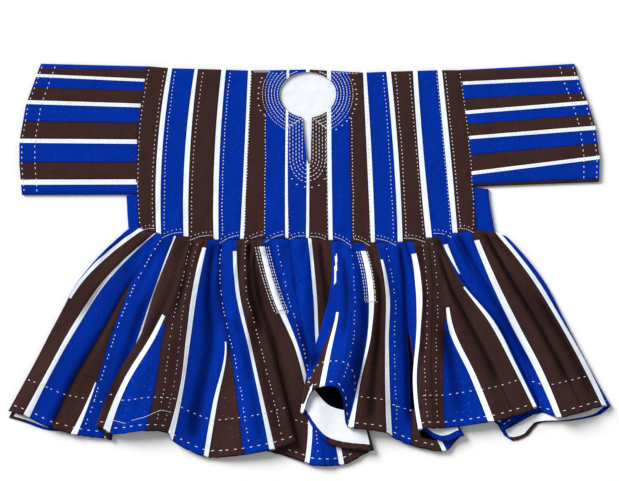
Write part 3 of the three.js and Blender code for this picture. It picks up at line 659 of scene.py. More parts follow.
def paint(mesh, points, column, row, tones, inside, shade):
    """Gives a flat grid its yarn colours, its painted shade and the UV maps of its cloth and of its strips."""
    corners = read(mesh.loops, "vertex_index")
    starts = read(mesh.polygons, "loop_start")
    face_of_corner = np.repeat(np.arange(len(starts)), read(mesh.polygons, "loop_total"))
    corner_columns, corner_rows = column[corners], row[corners]
    first = np.minimum.reduceat(corner_columns, starts)
    upper = np.minimum.reduceat(corner_rows, starts)
    yarn = np.array(tones, dtype=float)
    tone = mesh.attributes.new("tone", "FLOAT", "FACE")
    tone.data.foreach_set("value", yarn[first] if yarn.ndim == 1 else yarn[upper, first])
    # The shade attribute holds the painted shade of each point, from 0 to 1.
    if shade is not None:
        deep = mesh.attributes.new("shade", "FLOAT", "POINT")
        deep.data.foreach_set("value", np.array(shade, dtype=float)[row, column])
    while mesh.uv_layers:
        mesh.uv_layers.remove(mesh.uv_layers[0])
    rows, columns = points.shape[:2]
    u, v = run(points[rows // 2]), run(points[:, columns // 2])
    cloth = mesh.uv_layers.new(name="Cloth")
    cloth.data.foreach_set("uv", np.stack([u[corner_columns], -v[corner_rows]], axis=1).ravel())
    low, high = np.array(inside)[first][face_of_corner].T
    side = np.where(corner_columns > first[face_of_corner], high, low)
    band = mesh.uv_layers.new(name="Band")
    band.data.foreach_set("uv", np.stack([side, corner_rows / rows], axis=1).ravel())


def cloth_sheet(name, points, tones, inside, thickness, finish="woven", thick_rows=None, shade=None):
    """A sheet of cloth through rows of points in millimetres.

    tones and inside have an entry for each space between two columns: the yarn colour, or rows of them, and the part
    of its strip that it spans. thick_rows gives each row's share of the thickness, for a rolled hem. shade is
    the painted shade at each point, from 0 to 1, from how far it lies in a valley, a pleat or a fold."""
    points = np.array(points) * MM
    rows, columns = points.shape[:2]
    made, column, row = add_grid(name, columns, rows)
    made.data.vertices.foreach_set("co", points[row, column].ravel())
    paint(made.data, points, column, row, tones, inside, shade)
    made.data.materials.append(material(finish))
    wall = made.modifiers.new("Wall", "SOLIDIFY")
    wall.thickness = thickness
    wall.offset = 0.0
    if thick_rows is not None:
        group = made.vertex_groups.new(name="thick")
        for value in sorted(set(thick_rows)):
            group.add(np.nonzero(np.array(thick_rows)[row] == value)[0].tolist(), value, "REPLACE")
        wall.vertex_group = group.name
    bpy.ops.object.modifier_apply(modifier=wall.name)
    bpy.ops.object.shade_smooth_by_angle(angle=CREASE_ANGLE)
    return made


def strip_steps(edges, space):
    """How many spaces each strip between two edges is divided into, each about as wide as space."""
    return [max(1, round(abs(b - a) / space)) for a, b in zip(edges, edges[1:])]


def strip_spans(steps, tones):
    """The tone and the part of its strip for every space, after each strip is divided into steps."""
    tone = [colour for count, colour in zip(steps, tones) for _ in range(count)]
    inside = [(m / count, (m + 1) / count) for count in steps for m in range(count)]
    return tone, inside


def plain_spans(count):
    """Spans for white cloth that has no strips."""
    return [WHITE] * count, [(0.3, 0.7)] * count


def seat(piece, node_names):
    """Rides a finished piece on the garment's one body, in place of its plain solids."""
    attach(piece, "root")
    if node_names:
        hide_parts(*node_names)


# The body


def select_only(piece):
    bpy.ops.object.select_all(action="DESELECT")
    piece.select_set(True)
    bpy.context.view_layer.objects.active = piece


def turn_outwards():
    """Points the faces of the active piece out of it, in edit mode."""
    bpy.ops.mesh.select_all(action="SELECT")
    bpy.ops.mesh.normals_make_consistent(inside=False)
    bpy.ops.object.mode_set(mode="OBJECT")


def body_edge(strip, v):
    """A strip's left edge part of the way down the body."""
    x = through_three(strip[1:], v)
    return x, mix(across(SHOULDER_LINE, x), across(WAIST_LINE, x) + WAIST_GAP, v)


def body_sheet(name, height, space, row_spaces, thickness):
    """A panel of the body's strips at a height that is a function of the place."""
    steps = strip_steps([strip[2] for strip in BODY_STRIPS], space)
    rows = [spread([body_edge(strip, v) for strip in BODY_STRIPS], steps) for v in evenly(row_spaces)]
    points = [[(x, y, height(x, y)) for x, y in row] for row in rows]
    return cloth_sheet(name, points, *strip_spans(steps, [strip[0] for strip in BODY_STRIPS]), thickness)


def front_height(x, y):
    """The middle of the front body: flat, with soft creases, seams that sink in, and gathers over the waist seam."""
    above_waist = y - across(WAIST_LINE, x)
    left = x - across(ARMHOLE_LEFT, y)
    right = across(ARMHOLE_RIGHT, y) - x
    top = across(SHOULDER_LINE, x) - y
    seam = sum(bell(max(0.0, gap), 5.0) for gap in (above_waist, left, right, top))
    gathers = math.exp(-above_waist / 26.0) * wave("body gathers", x, y)
    drape = wave("body drape", x, y) + wave("body pucker", x, y)
    return FRONT_Z + 0.5 + drape + gathers - 1.5 * crease_depth(x, y) - 0.9 * seam


def front_body():
    made = body_sheet("front_body", front_height, 4.0, 76, sizes().body_cloth)
    cutter = neck_cutter()
    cut = made.modifiers.new("Neck", "BOOLEAN")
    cut.operation = "DIFFERENCE"
    cut.solver = "EXACT"
    cut.object = cutter
    select_only(made)
    bpy.ops.object.modifier_apply(modifier=cut.name)
    bpy.data.objects.remove(cutter)
    seat(made, ["front_bodice"])
    return made


def neck_outline(spaces=72):
    """The neckline and its slit as one loop, clockwise from the slit's left corner."""
    start, end = (math.asin((x - NECK["x"]) / NECK["half_width"]) for x, _ in (SLIT[0], SLIT[-1]))
    loop = []
    for part in evenly(spaces):
        angle = start - (2 * math.pi - (end - start)) * part
        high = NECK["rise"] if math.cos(angle) < 0 else NECK["drop"]
        loop.append((NECK["x"] + NECK["half_width"] * math.sin(angle), NECK["y"] - high * math.cos(angle)))
    return loop + SLIT[-2:0:-1]


def neck_cutter():
    """A prism of the neck opening, from a circle shaped to the outline and extruded."""
    outline = neck_outline()
    low, depth = 4.2 * MM, 8.0 * MM
    bpy.ops.object.select_all(action="DESELECT")
    bpy.ops.mesh.primitive_circle_add(vertices=len(outline), radius=1.0, fill_type="NGON")
    made = bpy.context.object
    for vertex, (x, y) in zip(made.data.vertices, outline):
        vertex.co = (x * MM, y * MM, low)
    bpy.ops.object.mode_set(mode="EDIT")
    bpy.ops.mesh.select_all(action="SELECT")
    bpy.ops.mesh.extrude_region_move(TRANSFORM_OT_translate={"value": (0, 0, depth)})
    turn_outwards()
    return made


def back_body():
    made = body_sheet("back_body", lambda x, y: BACK_Z, 12.0, 24, sizes().back_cloth)
    seat(made, ["back_bodice"])


# The sleeves and side gores


def sleeve(name, strips, armhole, cuff, side):
    """One sleeve: a tube of strips pressed flat, with its upper layer, its lower layer and a round at each edge."""
    thickness = sizes().back_cloth
    steps = strip_steps([strip[2] for strip in strips], 5.0)
    edges = spread([strip[1:] for strip in strips], steps)
    top, bottom = edges[0][1], edges[-1][1]
    middle = SLEEVE_TOP / 2
    half = (SLEEVE_TOP - thickness / MM) / 2

    def layer_point(edge, t, upper):
        y_out, y_in = edge
        x_in, x_out = across(armhole, y_in) + side * SIDE_GAP, across(cuff, y_out)
        x, y = mix(x_in, x_out, t), mix(y_in, y_out, t)
        away = min(top - y_in, y_in - bottom)
        rise = math.sqrt(clamp(1 - (1 - clamp(away / (half * 1.6))) ** 2))
        if not upper:
            return x, y, middle - half * rise
        drape = wave("sleeve drape", x, y) + wave("sleeve pucker", x, y)
        lift = (drape - 1.3 * crease_depth(x, y) - 0.5 * bell(x - x_in, 6.0)) * clamp(away / 14.0)
        return x, y, middle + (half + 0.4) * rise + lift

    rows = []
    for t in evenly(56):
        upper = [layer_point(edge, t, True) for edge in edges]
        rows.append(upper + [layer_point(edge, t, False) for edge in edges[-2:0:-1]] + upper[:1])
    tones, inside = strip_spans(steps, [strip[0] for strip in strips])
    made = cloth_sheet(name, rows, tones + tones[::-1], inside + [(b, a) for a, b in inside[::-1]], thickness)
    select_only(made)
    bpy.ops.object.mode_set(mode="EDIT")
    bpy.ops.mesh.select_all(action="SELECT")
    bpy.ops.mesh.remove_doubles(threshold=0.02 * MM)
    turn_outwards()
    return made


def sleeves():
    left = sleeve("left_sleeve", SLEEVE_STRIPS_LEFT, ARMHOLE_LEFT, CUFF_LEFT, -1)
    right = sleeve("right_sleeve", SLEEVE_STRIPS_RIGHT, ARMHOLE_RIGHT, CUFF_RIGHT, 1)
    for made, node, width in ((left, "sleeve_left", 0.23), (right, "sleeve_right", 0.25)):
        seat(made, [node])
    return [left, right]


def gore(name, seam, edge, top_y, side):
    """One side gore: cloth folded along its outer edge, open towards the body."""
    thickness = sizes().back_cloth
    middle = SLEEVE_TOP / 2
    half = (SLEEVE_TOP - thickness / MM) / 2
    rows = []
    for j, t in enumerate(evenly(14)):
        y_out = mix(edge[0][0], edge[-1][0], t)
        x_out = across(edge, y_out)
        x_in = across(seam, y_out) + side * SIDE_GAP
        fold = x_out - side * half
        line = [(mix(x_in, fold, part), middle + half + wave("gore", k, j)) for k, part in enumerate(evenly(8))]
        for part in evenly(8)[1:-1]:
            angle = math.pi * part
            line.append((fold + side * half * math.sin(angle), middle + half * math.cos(angle)))
        line += [(mix(fold, x_in, part), middle - half) for part in evenly(8)]
        points = []
        for x, z in line[::side]:
            top = mix(top_y, edge[0][0], clamp((x - x_in) / (x_out - x_in)))
            points.append((x, mix(top, across(WAIST_LINE, x) + SIDE_GAP, t), z))
        rows.append(points)
    parts = evenly(len(rows[0]) - 1)
    return cloth_sheet(name, rows, [BLUE] * (len(parts) - 1), list(zip(parts, parts[1:])), thickness)


def gores():
    left_edge = [(139, -366), (99, -364), (74, -362)]
    right_edge = [(152, 358), (134, 359), (108, 363), (68, 370)]
    left = gore("left_gore", ARMHOLE_LEFT, left_edge, 140.2, -1)
    right = gore("right_gore", ARMHOLE_RIGHT, right_edge, 156.2, 1)
    for made, node, wide, long in ((left, "gore_left", 0.058, 0.066), (right, "gore_right", 0.076, 0.088)):
        seat(made, [node])
    return [left, right]


# The skirt


def skirt_columns():
    """Each line of the front skirt as a function of v, with three to round each crease, the tones to the right of them,
    and the first and last of them for each row of the table."""
    lines, tones, ends = [], [], []
    open_row = None
    for index, row in enumerate(SKIRT_LINES):
        turn = row[9]
        first = open_row is None
        partner = None
        if turn:
            partner = next(other for other in SKIRT_LINES[index + 1:] if other[9]) if first else open_row
            open_row = row if first else None
        begin = len(lines)
        for place in ((-1, 0, 1) if turn else (0,)):
            lines.append(skirt_line(row, partner, first, place))
            tones.append(row[0])
        ends.append((begin, len(lines) - 1))
    return lines, tones, ends


def skirt_line(row, partner, first, place):
    """A line of the front skirt as a function of v. place is -1, 0 or 1 across the round of a crease."""
    hem_y, z_half, z_hem, turn = row[6:]
    top = across(WAIST_LINE, row[1]) - WAIST_GAP

    def line(v):
        x = flare(row[1:6], v)
        z = mix(FRONT_Z, z_half, ease(v / FOLD_START)) if v < 0.5 else mix(z_half, z_hem, ease(2 * v - 1))
        if place:
            reach = (-1 if first else 1) * mix(*FOLD_REACH, ease(v / FOLD_START))
            lap = clamp((flare(partner[1:6], v) - x) / (4 * reach), -1, 1)
            outward = (place < 0) == first
            x += reach * (1 if outward else lap)
            z += place * turn * FOLD_RISE * ease(v / FOLD_START)
        return x, mix(top, hem_y, v), z

    return line


SKIRT_ROWS = 92
# The rolled hem: its rows, its thickness over the skirt's, and the rest of the skirt's thickness over the hem's.
HEM_ROWS = 2
HEM_SHARE = 1.25
CLOTH_SHARE = 0.72
# The hem's extra width, as a share of the waist's, and the lowest that the middle of the cloth may lie.
SKIRT_FLARE = 0.59
LOWEST = 4.0
# How much painted shade a millimetre of depth gives a valley, a pleat and a fold, and the darkest painted shade of any.
VALLEY_SHADE, PLEAT_SHADE, FOLD_SHADE = 0.17, 0.16, 0.08
DARKEST = 0.85


def open_valleys(v, knots, ends):
    """The valleys that run part of the way down: x and height of the middle, depth and half width."""
    found = []
    for index, share, start, end, depth, half in VALLEYS:
        if start <= v <= end:
            a, b = knots[ends[index][1]], knots[ends[index + 1][0]]
            fade = (ease((v - start) * 8) if start else ease(v * 25)) * ease((end - v) * 8)
            found.append((mix(a[0], b[0], share), mix(a[2], b[2], share), depth * fade, half * (0.5 + 0.5 * v)))
    return found


def skirt_surface():
    """The front skirt as rows of points, the tone and span of each space, the columns of each line of the table, and
    the painted shade at each point, from how deep it lies in a valley, a pleat or a fold."""
    lines, tones, ends = skirt_columns()
    rows = evenly(SKIRT_ROWS)
    cage = [[line(v) for line in lines] for v in rows]
    half, hem = cage[SKIRT_ROWS // 2], cage[-1]
    widths = [max(math.dist(row[k], row[k + 1]) for row in (half, hem)) for k in range(len(lines) - 1)]
    steps = [max(2, min(9, round(width / 5.0))) for width in widths]
    shaped, painted_shades = [], []
    for v, line, knots in zip(rows, smooth_columns(cage, steps), cage):
        gathered = math.exp(-v * 6.0) * ease(v * 30)
        near_hem = bell(1 - v, 1 / 26.0)
        seam = -1.1 * bell(v, 1 / 60.0)
        valleys = open_valleys(v, knots, ends)
        out, painted_row = [], []
        for x, y, z in line:
            flow = x / (1 + SKIRT_FLARE * v)
            pleat = gathered * wave("pleat", flow, y)
            fold = wave("fold", flow, y) * ease(v * 5) * (1 - 0.4 * v)
            drape = (wave("skirt drape", x, y) + wave("skirt pucker", x, y)) * ease(v * 6)
            sunk = sum(deep * bell(x - at, width) for at, high, deep, width in valleys if z > high - 5)
            height = z + 0.8 + pleat + fold + seam + drape + near_hem * wave("hem height", x, y) - 0.75 * sunk
            out.append((x + near_hem * wave("hem side", x, y), y + near_hem * wave("hem drop", x, y),
                        max(LOWEST, height)))
            # Painted shade: the deeper a point lies in a valley, a pleat or a fold, the darker its colour.
            shade = VALLEY_SHADE * sunk + PLEAT_SHADE * max(0.0, -pleat) + FOLD_SHADE * max(0.0, -fold)
            painted_row.append(clamp(shade, 0.0, DARKEST))
        shaped.append(out)
        painted_shades.append(painted_row)
    starts = [sum(steps[:k]) for k in range(len(steps) + 1)]
    tone, inside = strip_spans(steps, tones)
    ends = [(starts[a], starts[b]) for a, b in ends]
    shown = np.array([tone] * SKIRT_ROWS)
    for place, low, high, colour in HIDDEN:
        line, share = int(place), place % 1
        first = round(mix(ends[line][1], ends[line + 1][0], share)) if share else ends[line][0]
        shown[round(low * SKIRT_ROWS):round(high * SKIRT_ROWS), first:ends[line + 1][0]] = colour
    return shaped, shown, inside, ends, painted_shades


def front_skirt():
    points, tones, inside, starts, shade = skirt_surface()
    thick = [1.0 if k >= SKIRT_ROWS - HEM_ROWS else CLOTH_SHARE for k in range(SKIRT_ROWS + 1)]
    made = cloth_sheet("front_skirt", points, tones, inside, sizes().skirt_cloth * HEM_SHARE, "woven", thick, shade)
    seat(made, ["skirt_front"])
    return made, points, starts


def back_surface(rows, inset=1.0, height=BACK_Z, lifts=None):
    """The back skirt's points, tones and spans. lifts raises the hem of some lines."""
    table = []
    for v in rows:
        line = []
        for index, row in enumerate(BACK_LINES):
            hem_y = row[6] + (lifts or {}).get(index, 0)
            line.append((flare(row[1:6], v) * inset, mix(across(WAIST_LINE, row[1]) - WAIST_GAP, hem_y, v), height))
        table.append(line)
    steps = strip_steps([row[5] for row in BACK_LINES], 12.0)
    return smooth_columns(table, steps), *strip_spans(steps, [row[0] for row in BACK_LINES])


def back_skirt():
    made = cloth_sheet("back_skirt", *back_surface(evenly(40)), sizes().back_cloth)
    seat(made, ["skirt_back"])


# The linings and pocket mouths


def neck_lining():
    """The white lining of the back, where it shows through the neck, with a fold pressed across it."""
    count, half_width, low = 40, 92.0, 180.0
    rows = []
    for down in evenly(count):
        line = []
        for part in evenly(count):
            x = NECK["x"] + half_width * (2 * part - 1)
            y = mix(across(SHOULDER_LINE, x) - 1.0, low, down)
            fold = 0.5 * bell(y - 350 - 0.03 * x, 3.0) + wave("neck lining", x, y)
            line.append((x, y, LINING_Z + 0.3 + fold))
        rows.append(line)
    thickness = sizes().lining_cloth
    made = cloth_sheet("neck_lining", rows, *plain_spans(count), thickness, "lining")
    seat(made, ["lining_back"])


def hem_lining():
    """The white lining of the back skirt, which shows at the hem and stands up a little at the right."""
    rows = [mix(0.02, 0.992, part) for part in evenly(30)]
    points, tones, inside = back_surface(rows, 0.985, LINING_Z, ROLLED_HEM)
    for v, line in zip(rows, points):
        lifted = 7.0 * ease((v - 0.9) * 12)
        line[:] = [(x, y, z + lifted * ease((x - 440) / 35) * ease((590 - x) / 30)) for x, y, z in line]
    thickness = sizes().lining_cloth
    made = cloth_sheet("skirt_lining", points, [WHITE] * len(tones), inside, thickness, "lining")
    seat(made, ["lining_skirt_back"])


def flute_linings(points, starts):
    """The white lining on the doubled-back layer inside the two open flutes."""
    for name, node, first, last, top, flat, area in (
        ("centre_flute_lining", "lining_flute_centre", 28, 30, 0.81, (0.15, 0.10), 0.0085),
        ("right_flute_lining", "lining_flute_right", 43, 45, 0.78, (0.10, 0.09), 0.0050),
    ):
        low, high = starts[first][1], starts[last][0]
        shown = points[round(top * SKIRT_ROWS):SKIRT_ROWS - 2]
        patch = [[(x, y, z + 1.9) for x, y, z in reversed(row[low:high + 1])] for row in shown]
        thickness = sizes().lining_cloth
        made = cloth_sheet(name, patch, *plain_spans(high - low), thickness, "lining")
        seat(made, [node])


# Pocket mouths on the skirt's white strips: the piece, its node, the line to its left, its first and last row, the last
# row of its stitches, and how far these lie from its middle.
POCKETS = [
    ("left_pocket", "pocket_left", 23, 3, 29, 30, (-14.0, -8.5, 8.5, 13.0)),
    ("right_pocket", "pocket_right", 36, 4, 29, 29, (-13.5, -9.0, 7.5)),
]


def pockets(points, starts):
    """Two pocket mouths of white band, crowned across their width."""
    half_width, base, crown = 5.2, 1.7, 1.1
    made = []
    for name, node, line, top, low, _, _ in POCKETS:
        first, last = starts[line][1], starts[line + 1][0]
        rows = []
        for j in range(top, low + 1):
            a, b = Vector(points[j][first]), Vector(points[j][last])
            half = Vector((1, 0, (b.z - a.z) / max(1.0, b.x - a.x))) * (half_width + wave("pocket edge", j, line))
            rows.append([tuple((a + b) / 2 + half * s + Vector((0, 0, base + crown * (1 - s * s))))
                         for s in (2 * part - 1 for part in evenly(6))])
        piece = cloth_sheet(name, rows, *plain_spans(6), sizes().lining_cloth)
        seat(piece, [node])
        made.append(piece)
    return made


# Stitching


class Needle:
    """Sews stitches onto the finished cloth: each is a short rounded bar laid from one point to the next."""

    # The lowest cloth that is sewn, the greatest step between a stitch's ends, and how far a sheet may lie under the
    # top of the cloth and still be what shows.
    LOWEST = 1.2
    STEP = 4.0
    UNDER_TOP = 2.6

    def __init__(self, cloths):
        corners, faces = [], []
        for piece in cloths:
            base = len(corners)
            corners += [tuple(vertex.co) for vertex in piece.data.vertices]
            faces += [[base + k for k in face.vertices] for face in piece.data.polygons]
        self.ground = BVHTree.FromPolygons(corners, faces)
        self.bars = []

    def drop(self, x, y):
        """The top of the cloth under a place in millimetres, and the way out of it."""
        hit, normal, _, _ = self.ground.ray_cast(Vector((x * MM, y * MM, 0.3)), Vector((0, 0, -1)))
        if hit is None or hit.z < self.LOWEST * MM:
            return None, None
        return hit, normal

    def shown(self, points):
        """Those of a sheet's points that nothing covers, as x and y, with None for the others."""
        tops = [self.drop(x, y)[0] for x, y, _ in points]
        return [(x, y) if top is not None and abs(top.z / MM - z) < self.UNDER_TOP else None
                for (x, y, z), top in zip(points, tops)]

    def bar(self, start, end, width, height=0.55):
        a, up_a = self.drop(*start)
        b, up_b = self.drop(*end)
        if a is None or b is None or abs(a.z - b.z) > self.STEP * MM:
            return
        self.bars.append((a, b, (up_a + up_b).normalized(), width, height))

    def row(self, path, pitch, part=0.6, width=1.1, wander=0.25, height=0.55, lost=0.0):
        """Running stitches along a path, one for each pitch, that cover part of it. Some are lost in the cloth."""
        lengths = [math.dist(a, b) for a, b in zip(path, path[1:])]
        total = sum(lengths)
        count = max(1, round(total / pitch))

        def at(distance, drift):
            distance = clamp(distance, 0, total - 1e-6)
            k = 0
            while distance > lengths[k] and k < len(lengths) - 1:
                distance -= lengths[k]
                k += 1
            return tuple(mix(a, b, distance / max(lengths[k], 1e-9)) + drift for a, b in zip(path[k], path[k + 1]))

        first_x, first_y = path[0]
        for k in range(count):
            if (k * 0.618 + 0.37 * first_x) % 1 < lost:
                continue
            shake = wave("stitch length", k * 3.7, first_x + first_y)
            drift = wander * wave("stitch place", k, first_x)
            start = (k + 0.5 - part / 2 + 0.2 * shake) * total / count
            end = start + part * (1 + 0.3 * shake) * total / count
            self.bar(at(start, drift), at(end, drift), width, height)

    def knot(self, x, y, size=2.4):
        """A small round knot."""
        self.bar((x - size * 0.22, y), (x + size * 0.22, y + size * 0.1), size, 1.0)

    def finish(self, name):
        """One mesh of all the bars so far, copied from one rounded bar."""
        bpy.ops.object.select_all(action="DESELECT")
        bpy.ops.mesh.primitive_uv_sphere_add(segments=6, ring_count=5, radius=0.5)
        made = bpy.context.object
        made.name = made.data.name = name
        shape = [tuple(vertex.co) for vertex in made.data.vertices]
        faces = [list(face.vertices) for face in made.data.polygons]
        corners, polygons = [], []
        for a, b, up, width, height in self.bars:
            along = b - a
            length = max(along.length, width * MM * 0.15)
            along = along.normalized() if along.length > 1e-7 else Vector((1, 0, 0))
            side = up.cross(along).normalized()
            top = along.cross(side)
            centre = (a + b) / 2 + top * (height * 0.3 * MM)
            polygons += [[len(corners) + k for k in face] for face in faces]
            for x, y, z in shape:
                reach = math.copysign(abs(2 * z) ** 0.6 / 2, z) if z else 0.0
                place = centre + along * (reach * (length + width * MM)) + side * (x * width * MM)
                corners.append(tuple(place + top * (y * height * MM * 1.6)))
        self.bars = []
        made.data = bpy.data.meshes.new(name)
        made.data.from_pydata(corners, [], polygons)
        made.data.materials.append(material("thread"))
        select_only(made)
        bpy.ops.object.shade_smooth()
        seat(made, [])


# The neck ornament: how far its rings lie outside the neck, the middle of the slit, where the rings turn down beside
# it and where the rows there turn round below it.
NECK_RINGS = (3.6, 9.6, 15.6, 21.8, 27.8, 33.8)
SLIT_MIDDLE = -2.6
MITRE_Y = 293.0
TURN_Y = 215.0


def ring_path(grow, side):
    """A ring of the neck ornament on one side, from the shoulder to its mitre, and the mitre."""
    row_x = NECK["x"] + side * (10.5 + 1.02 * (grow - 3.2))
    mitre_y = MITRE_Y - 0.6 * abs(row_x - NECK["x"] - side * 10)
    path = []
    for part in evenly(59):
        angle = math.radians(mix(95, 262, part))
        x = NECK["x"] + side * (NECK["half_width"] + grow) * abs(math.cos(angle))
        high = NECK["rise"] if math.sin(angle) > 0 else NECK["drop"]
        y = NECK["y"] + (high + grow) * math.sin(angle)
        if y < across(SHOULDER_LINE, x) - 3 and (abs(x - NECK["x"]) > abs(row_x - NECK["x"]) or y > NECK["y"]):
            path.append((x, y))
    return path, (row_x, mitre_y)


# Round knots outside the rings, down the left and the right and under the slit.
NECK_DOTS = [
    (-95, 374), (-98, 366), (-101, 354), (-102, 343), (-102.4, 333), (-101.4, 319), (-98, 309), (-90, 300.6),
    (86.4, 370.4), (91, 362), (93, 351), (95, 342), (94.6, 332), (93.6, 321), (90.4, 312), (86.4, 303), (81, 294),
    (75, 288), (65.8, 279), (53.8, 271), (-35, 172), (-25, 161), (-9, 156), (5, 155), (19, 159), (30.6, 172),
]


def neck_ornament(needle):
    """Six rings round the neck, five rows down each side of the slit, the mitres, and knots round the outside."""
    for side in (-1, 1):
        for order, grow in enumerate(NECK_RINGS):
            path, (row_x, mitre_y) = ring_path(grow, side)
            needle.row(path, 5.2, 0.5, 1.6 if order < 4 else 1.15, 0.1)
            if order == len(NECK_RINGS) - 1:
                continue
            radius = abs(row_x - SLIT_MIDDLE)
            depth = 18.0 + 1.28 * (radius - 12.4)
            down = [(row_x, mitre_y), (row_x, TURN_Y)]
            for part in evenly(12)[1:]:
                angle = math.radians(88 * part)
                down.append((SLIT_MIDDLE + side * radius * math.cos(angle), TURN_Y - depth * math.sin(angle)))
            needle.row(down, 7.6, 0.38, 1.7, 0.1)
        corner = (-15.8, 292.8) if side < 0 else (7.0, 294.0)
        end = (-47.0, 274.4) if side < 0 else (37.0, 271.0)
        needle.row([corner, end], 9.0, 1.1, 1.4, 0.0, 0.8)
        whip_from, whip_to = (-109.0, -80.0) if side < 0 else (48.0, 94.0)
        for part in evenly(7):
            x = mix(whip_from, whip_to, part)
            y = across(SHOULDER_LINE, x)
            needle.bar((x - 1.8, y - 1.5), (x + 1.8, y - 4.0), 1.2, 0.9)
    for x, y in NECK_DOTS:
        needle.knot(x, y)


# Running stitches on the body: x at the shoulder, the chest and the waist, the pitch and the thread's width.
BODY_ROWS = [
    (-320.0, -342.0, -338.0, 9.0, 0.9), (-288.0, -310.6, -313.0, 9.0, 0.9), (-268.0, -287.0, -290.0, 7.5, 0.9),
    (-212.0, -231.6, -236.0, 8.5, 0.9), (-158.0, -172.0, -174.0, 7.0, 1.0), (-116.0, -124.0, -131.0, 6.0, 1.0),
    (-86.5, -88.4, -90.4, 6.5, 1.0), (-42.0, -45.0, -41.0, 6.8, 0.9), (34.0, 34.4, 37.0, 8.0, 0.9),
    (81.0, 86.0, 88.0, 6.8, 1.0), (109.0, 118.2, 121.0, 8.4, 0.9), (147.0, 160.2, 169.0, 8.0, 0.9),
    (171.0, 185.6, 194.0, 7.5, 1.0), (200.0, 214.6, 229.0, 8.0, 0.9), (254.0, 269.8, 284.0, 7.0, 0.9),
    (271.0, 288.0, 303.0, 7.5, 1.0), (300.0, 321.0, 329.0, 8.0, 0.9),
]


def body_rows(needle):
    """Running stitches down the body's strips, and an arc of them over each strip's end at the waist."""
    for shoulder, chest, waist, pitch, width in BODY_ROWS:
        path = []
        for part in evenly(23):
            v = 0.012 + 0.965 * part
            x = through_three((shoulder, chest, waist), v)
            under_ornament = ((x - NECK["x"]) / 100) ** 2 + ((v - 0.1) / 0.29) ** 2 < 1
            if not under_ornament:
                path.append((x, mix(across(SHOULDER_LINE, x), across(WAIST_LINE, x), v)))
        needle.row(path, pitch, 0.05, width * 2.3, 1.2, 0.7)
    edges = [strip[3] for strip in BODY_STRIPS]
    for left, right in zip(edges, edges[1:]):
        if right - left < 15:
            continue
        lean = clamp(0.5 + (left + right) / 260)
        for high, pitch, part, width in ((0.0, 4.6, 0.6, 1.2), (6.5, 8.0, 0.05, 1.8)):
            arc = []
            for place in evenly(8):
                x = mix(left + 2, right - 2, place)
                rise = 15.0 * mix(place, 1 - place, lean) + 3.0 * math.sin(math.pi * place)
                arc.append((x, across(WAIST_LINE, x) - 6.5 + high + rise))
            needle.row(arc, pitch, part, width, 0.3)


def sleeve_rows(needle):
    """Two rows along each cuff, and one along the lower edge of every third strip."""
    for cuff, side in ((CUFF_LEFT, 1), (CUFF_RIGHT, -1)):
        low, high = cuff[-1][0] + 3, cuff[0][0] - 3
        for inset in (5.0, 31.0):
            path = [(across(cuff, y) + side * inset, y) for y in np.linspace(high, low, 30)]
            needle.row(path, 11.0, 0.2, 1.9, 0.5)
    for strips, armhole, cuff in (
        (SLEEVE_STRIPS_LEFT, ARMHOLE_LEFT, CUFF_LEFT), (SLEEVE_STRIPS_RIGHT, ARMHOLE_RIGHT, CUFF_RIGHT),
    ):
        for _, y_out, y_in in strips[2:-1:3]:
            a, b = (across(armhole, y_in), y_in - 3), (across(cuff, y_out), y_out - 3)
            needle.row([a, b], 9.0, 0.05, 1.8, 0.5)


# Running stitches down the skirt: the line of the skirt to the left, the part of the way to the next one, the pitch
# and the thread's width.
SKIRT_STITCH_LINES = [
    (7, 0.25, 8.4, 1.4), (13, 0.3, 8.2, 1.1), (13, 0.62, 8.4, 0.9), (18, 0.25, 8.2, 1.3), (20, 0.45, 8.2, 1.2),
    (24, 0.6, 8.2, 1.2), (34, 0.3, 8.4, 1.0), (39, 0.35, 8.2, 1.0), (46, 0.6, 8.4, 1.1), (47, 0.5, 8.2, 1.0),
]


def skirt_rows(needle, points, starts):
    """Two long rows along the hem where it shows, and running stitches down the strips."""
    last = len(points) - 1
    for back, pitch, part, width in ((3, 16.0, 0.26, 1.8), (16, 13.0, 0.24, 1.6)):
        stretches = [[]]
        for place in needle.shown(points[last - back]):
            if place:
                stretches[-1].append(place)
            elif stretches[-1]:
                stretches.append([])
        for path in stretches:
            if len(path) > 2:
                needle.row(path, pitch, part, width, 0.6)
    for line, share, pitch, width in SKIRT_STITCH_LINES:
        column = round(mix(starts[line][1], starts[line + 1][0], share))
        path = [place for place in needle.shown([row[column] for row in points[2:last - 4]]) if place]
        if len(path) > 2:
            needle.row(path, pitch, 0.06, width * 1.7, 2.2, 0.5, 0.25)


# A loose thread on the left of the skirt, in two lengths.
LOOSE_THREAD = [[(-397, -309), (-367, -316)], [(-355, -310), (-328, -303), (-297, -289), (-276, -294)]]


def pocket_rows(needle, points, starts):
    """Rows on each side of both pocket mouths, one under them, and the loose thread."""
    for _, _, line, top, _, low, offsets in POCKETS:
        first, last = starts[line][1], starts[line + 1][0]
        middle = [tuple((a + b) / 2 for a, b in zip(row[first][:2], row[last][:2])) for row in points[top:low + 1]]
        for offset in offsets:
            needle.row([(x + offset, y) for x, y in middle], 6.4, 0.4, 1.9, 0.2, 0.9)
        x, y = middle[-1]
        needle.row([(x - 13, y - 1), (x + 13, y - 1)], 4.2, 0.4, 1.4, 0.2, 0.9)
    for length in LOOSE_THREAD:
        needle.row(length, 5.0, 1.05, 1.0, 0.0, 0.9)


def stitching(cloths, points, starts):
    """All the hand sewing, in one mesh for each part of the garment."""
    needle = Needle(cloths)
    for name, sew, surface in (
        ("neck_stitches", neck_ornament, ()),
        ("body_stitches", body_rows, ()),
        ("sleeve_stitches", sleeve_rows, ()),
        ("skirt_stitches", skirt_rows, (points, starts)),
        ("pocket_stitches", pocket_rows, (points, starts)),
    ):
        sew(needle, *surface)
        needle.finish(name)


# The floor, light and camera


CAMERA_DISTANCE = 4.2
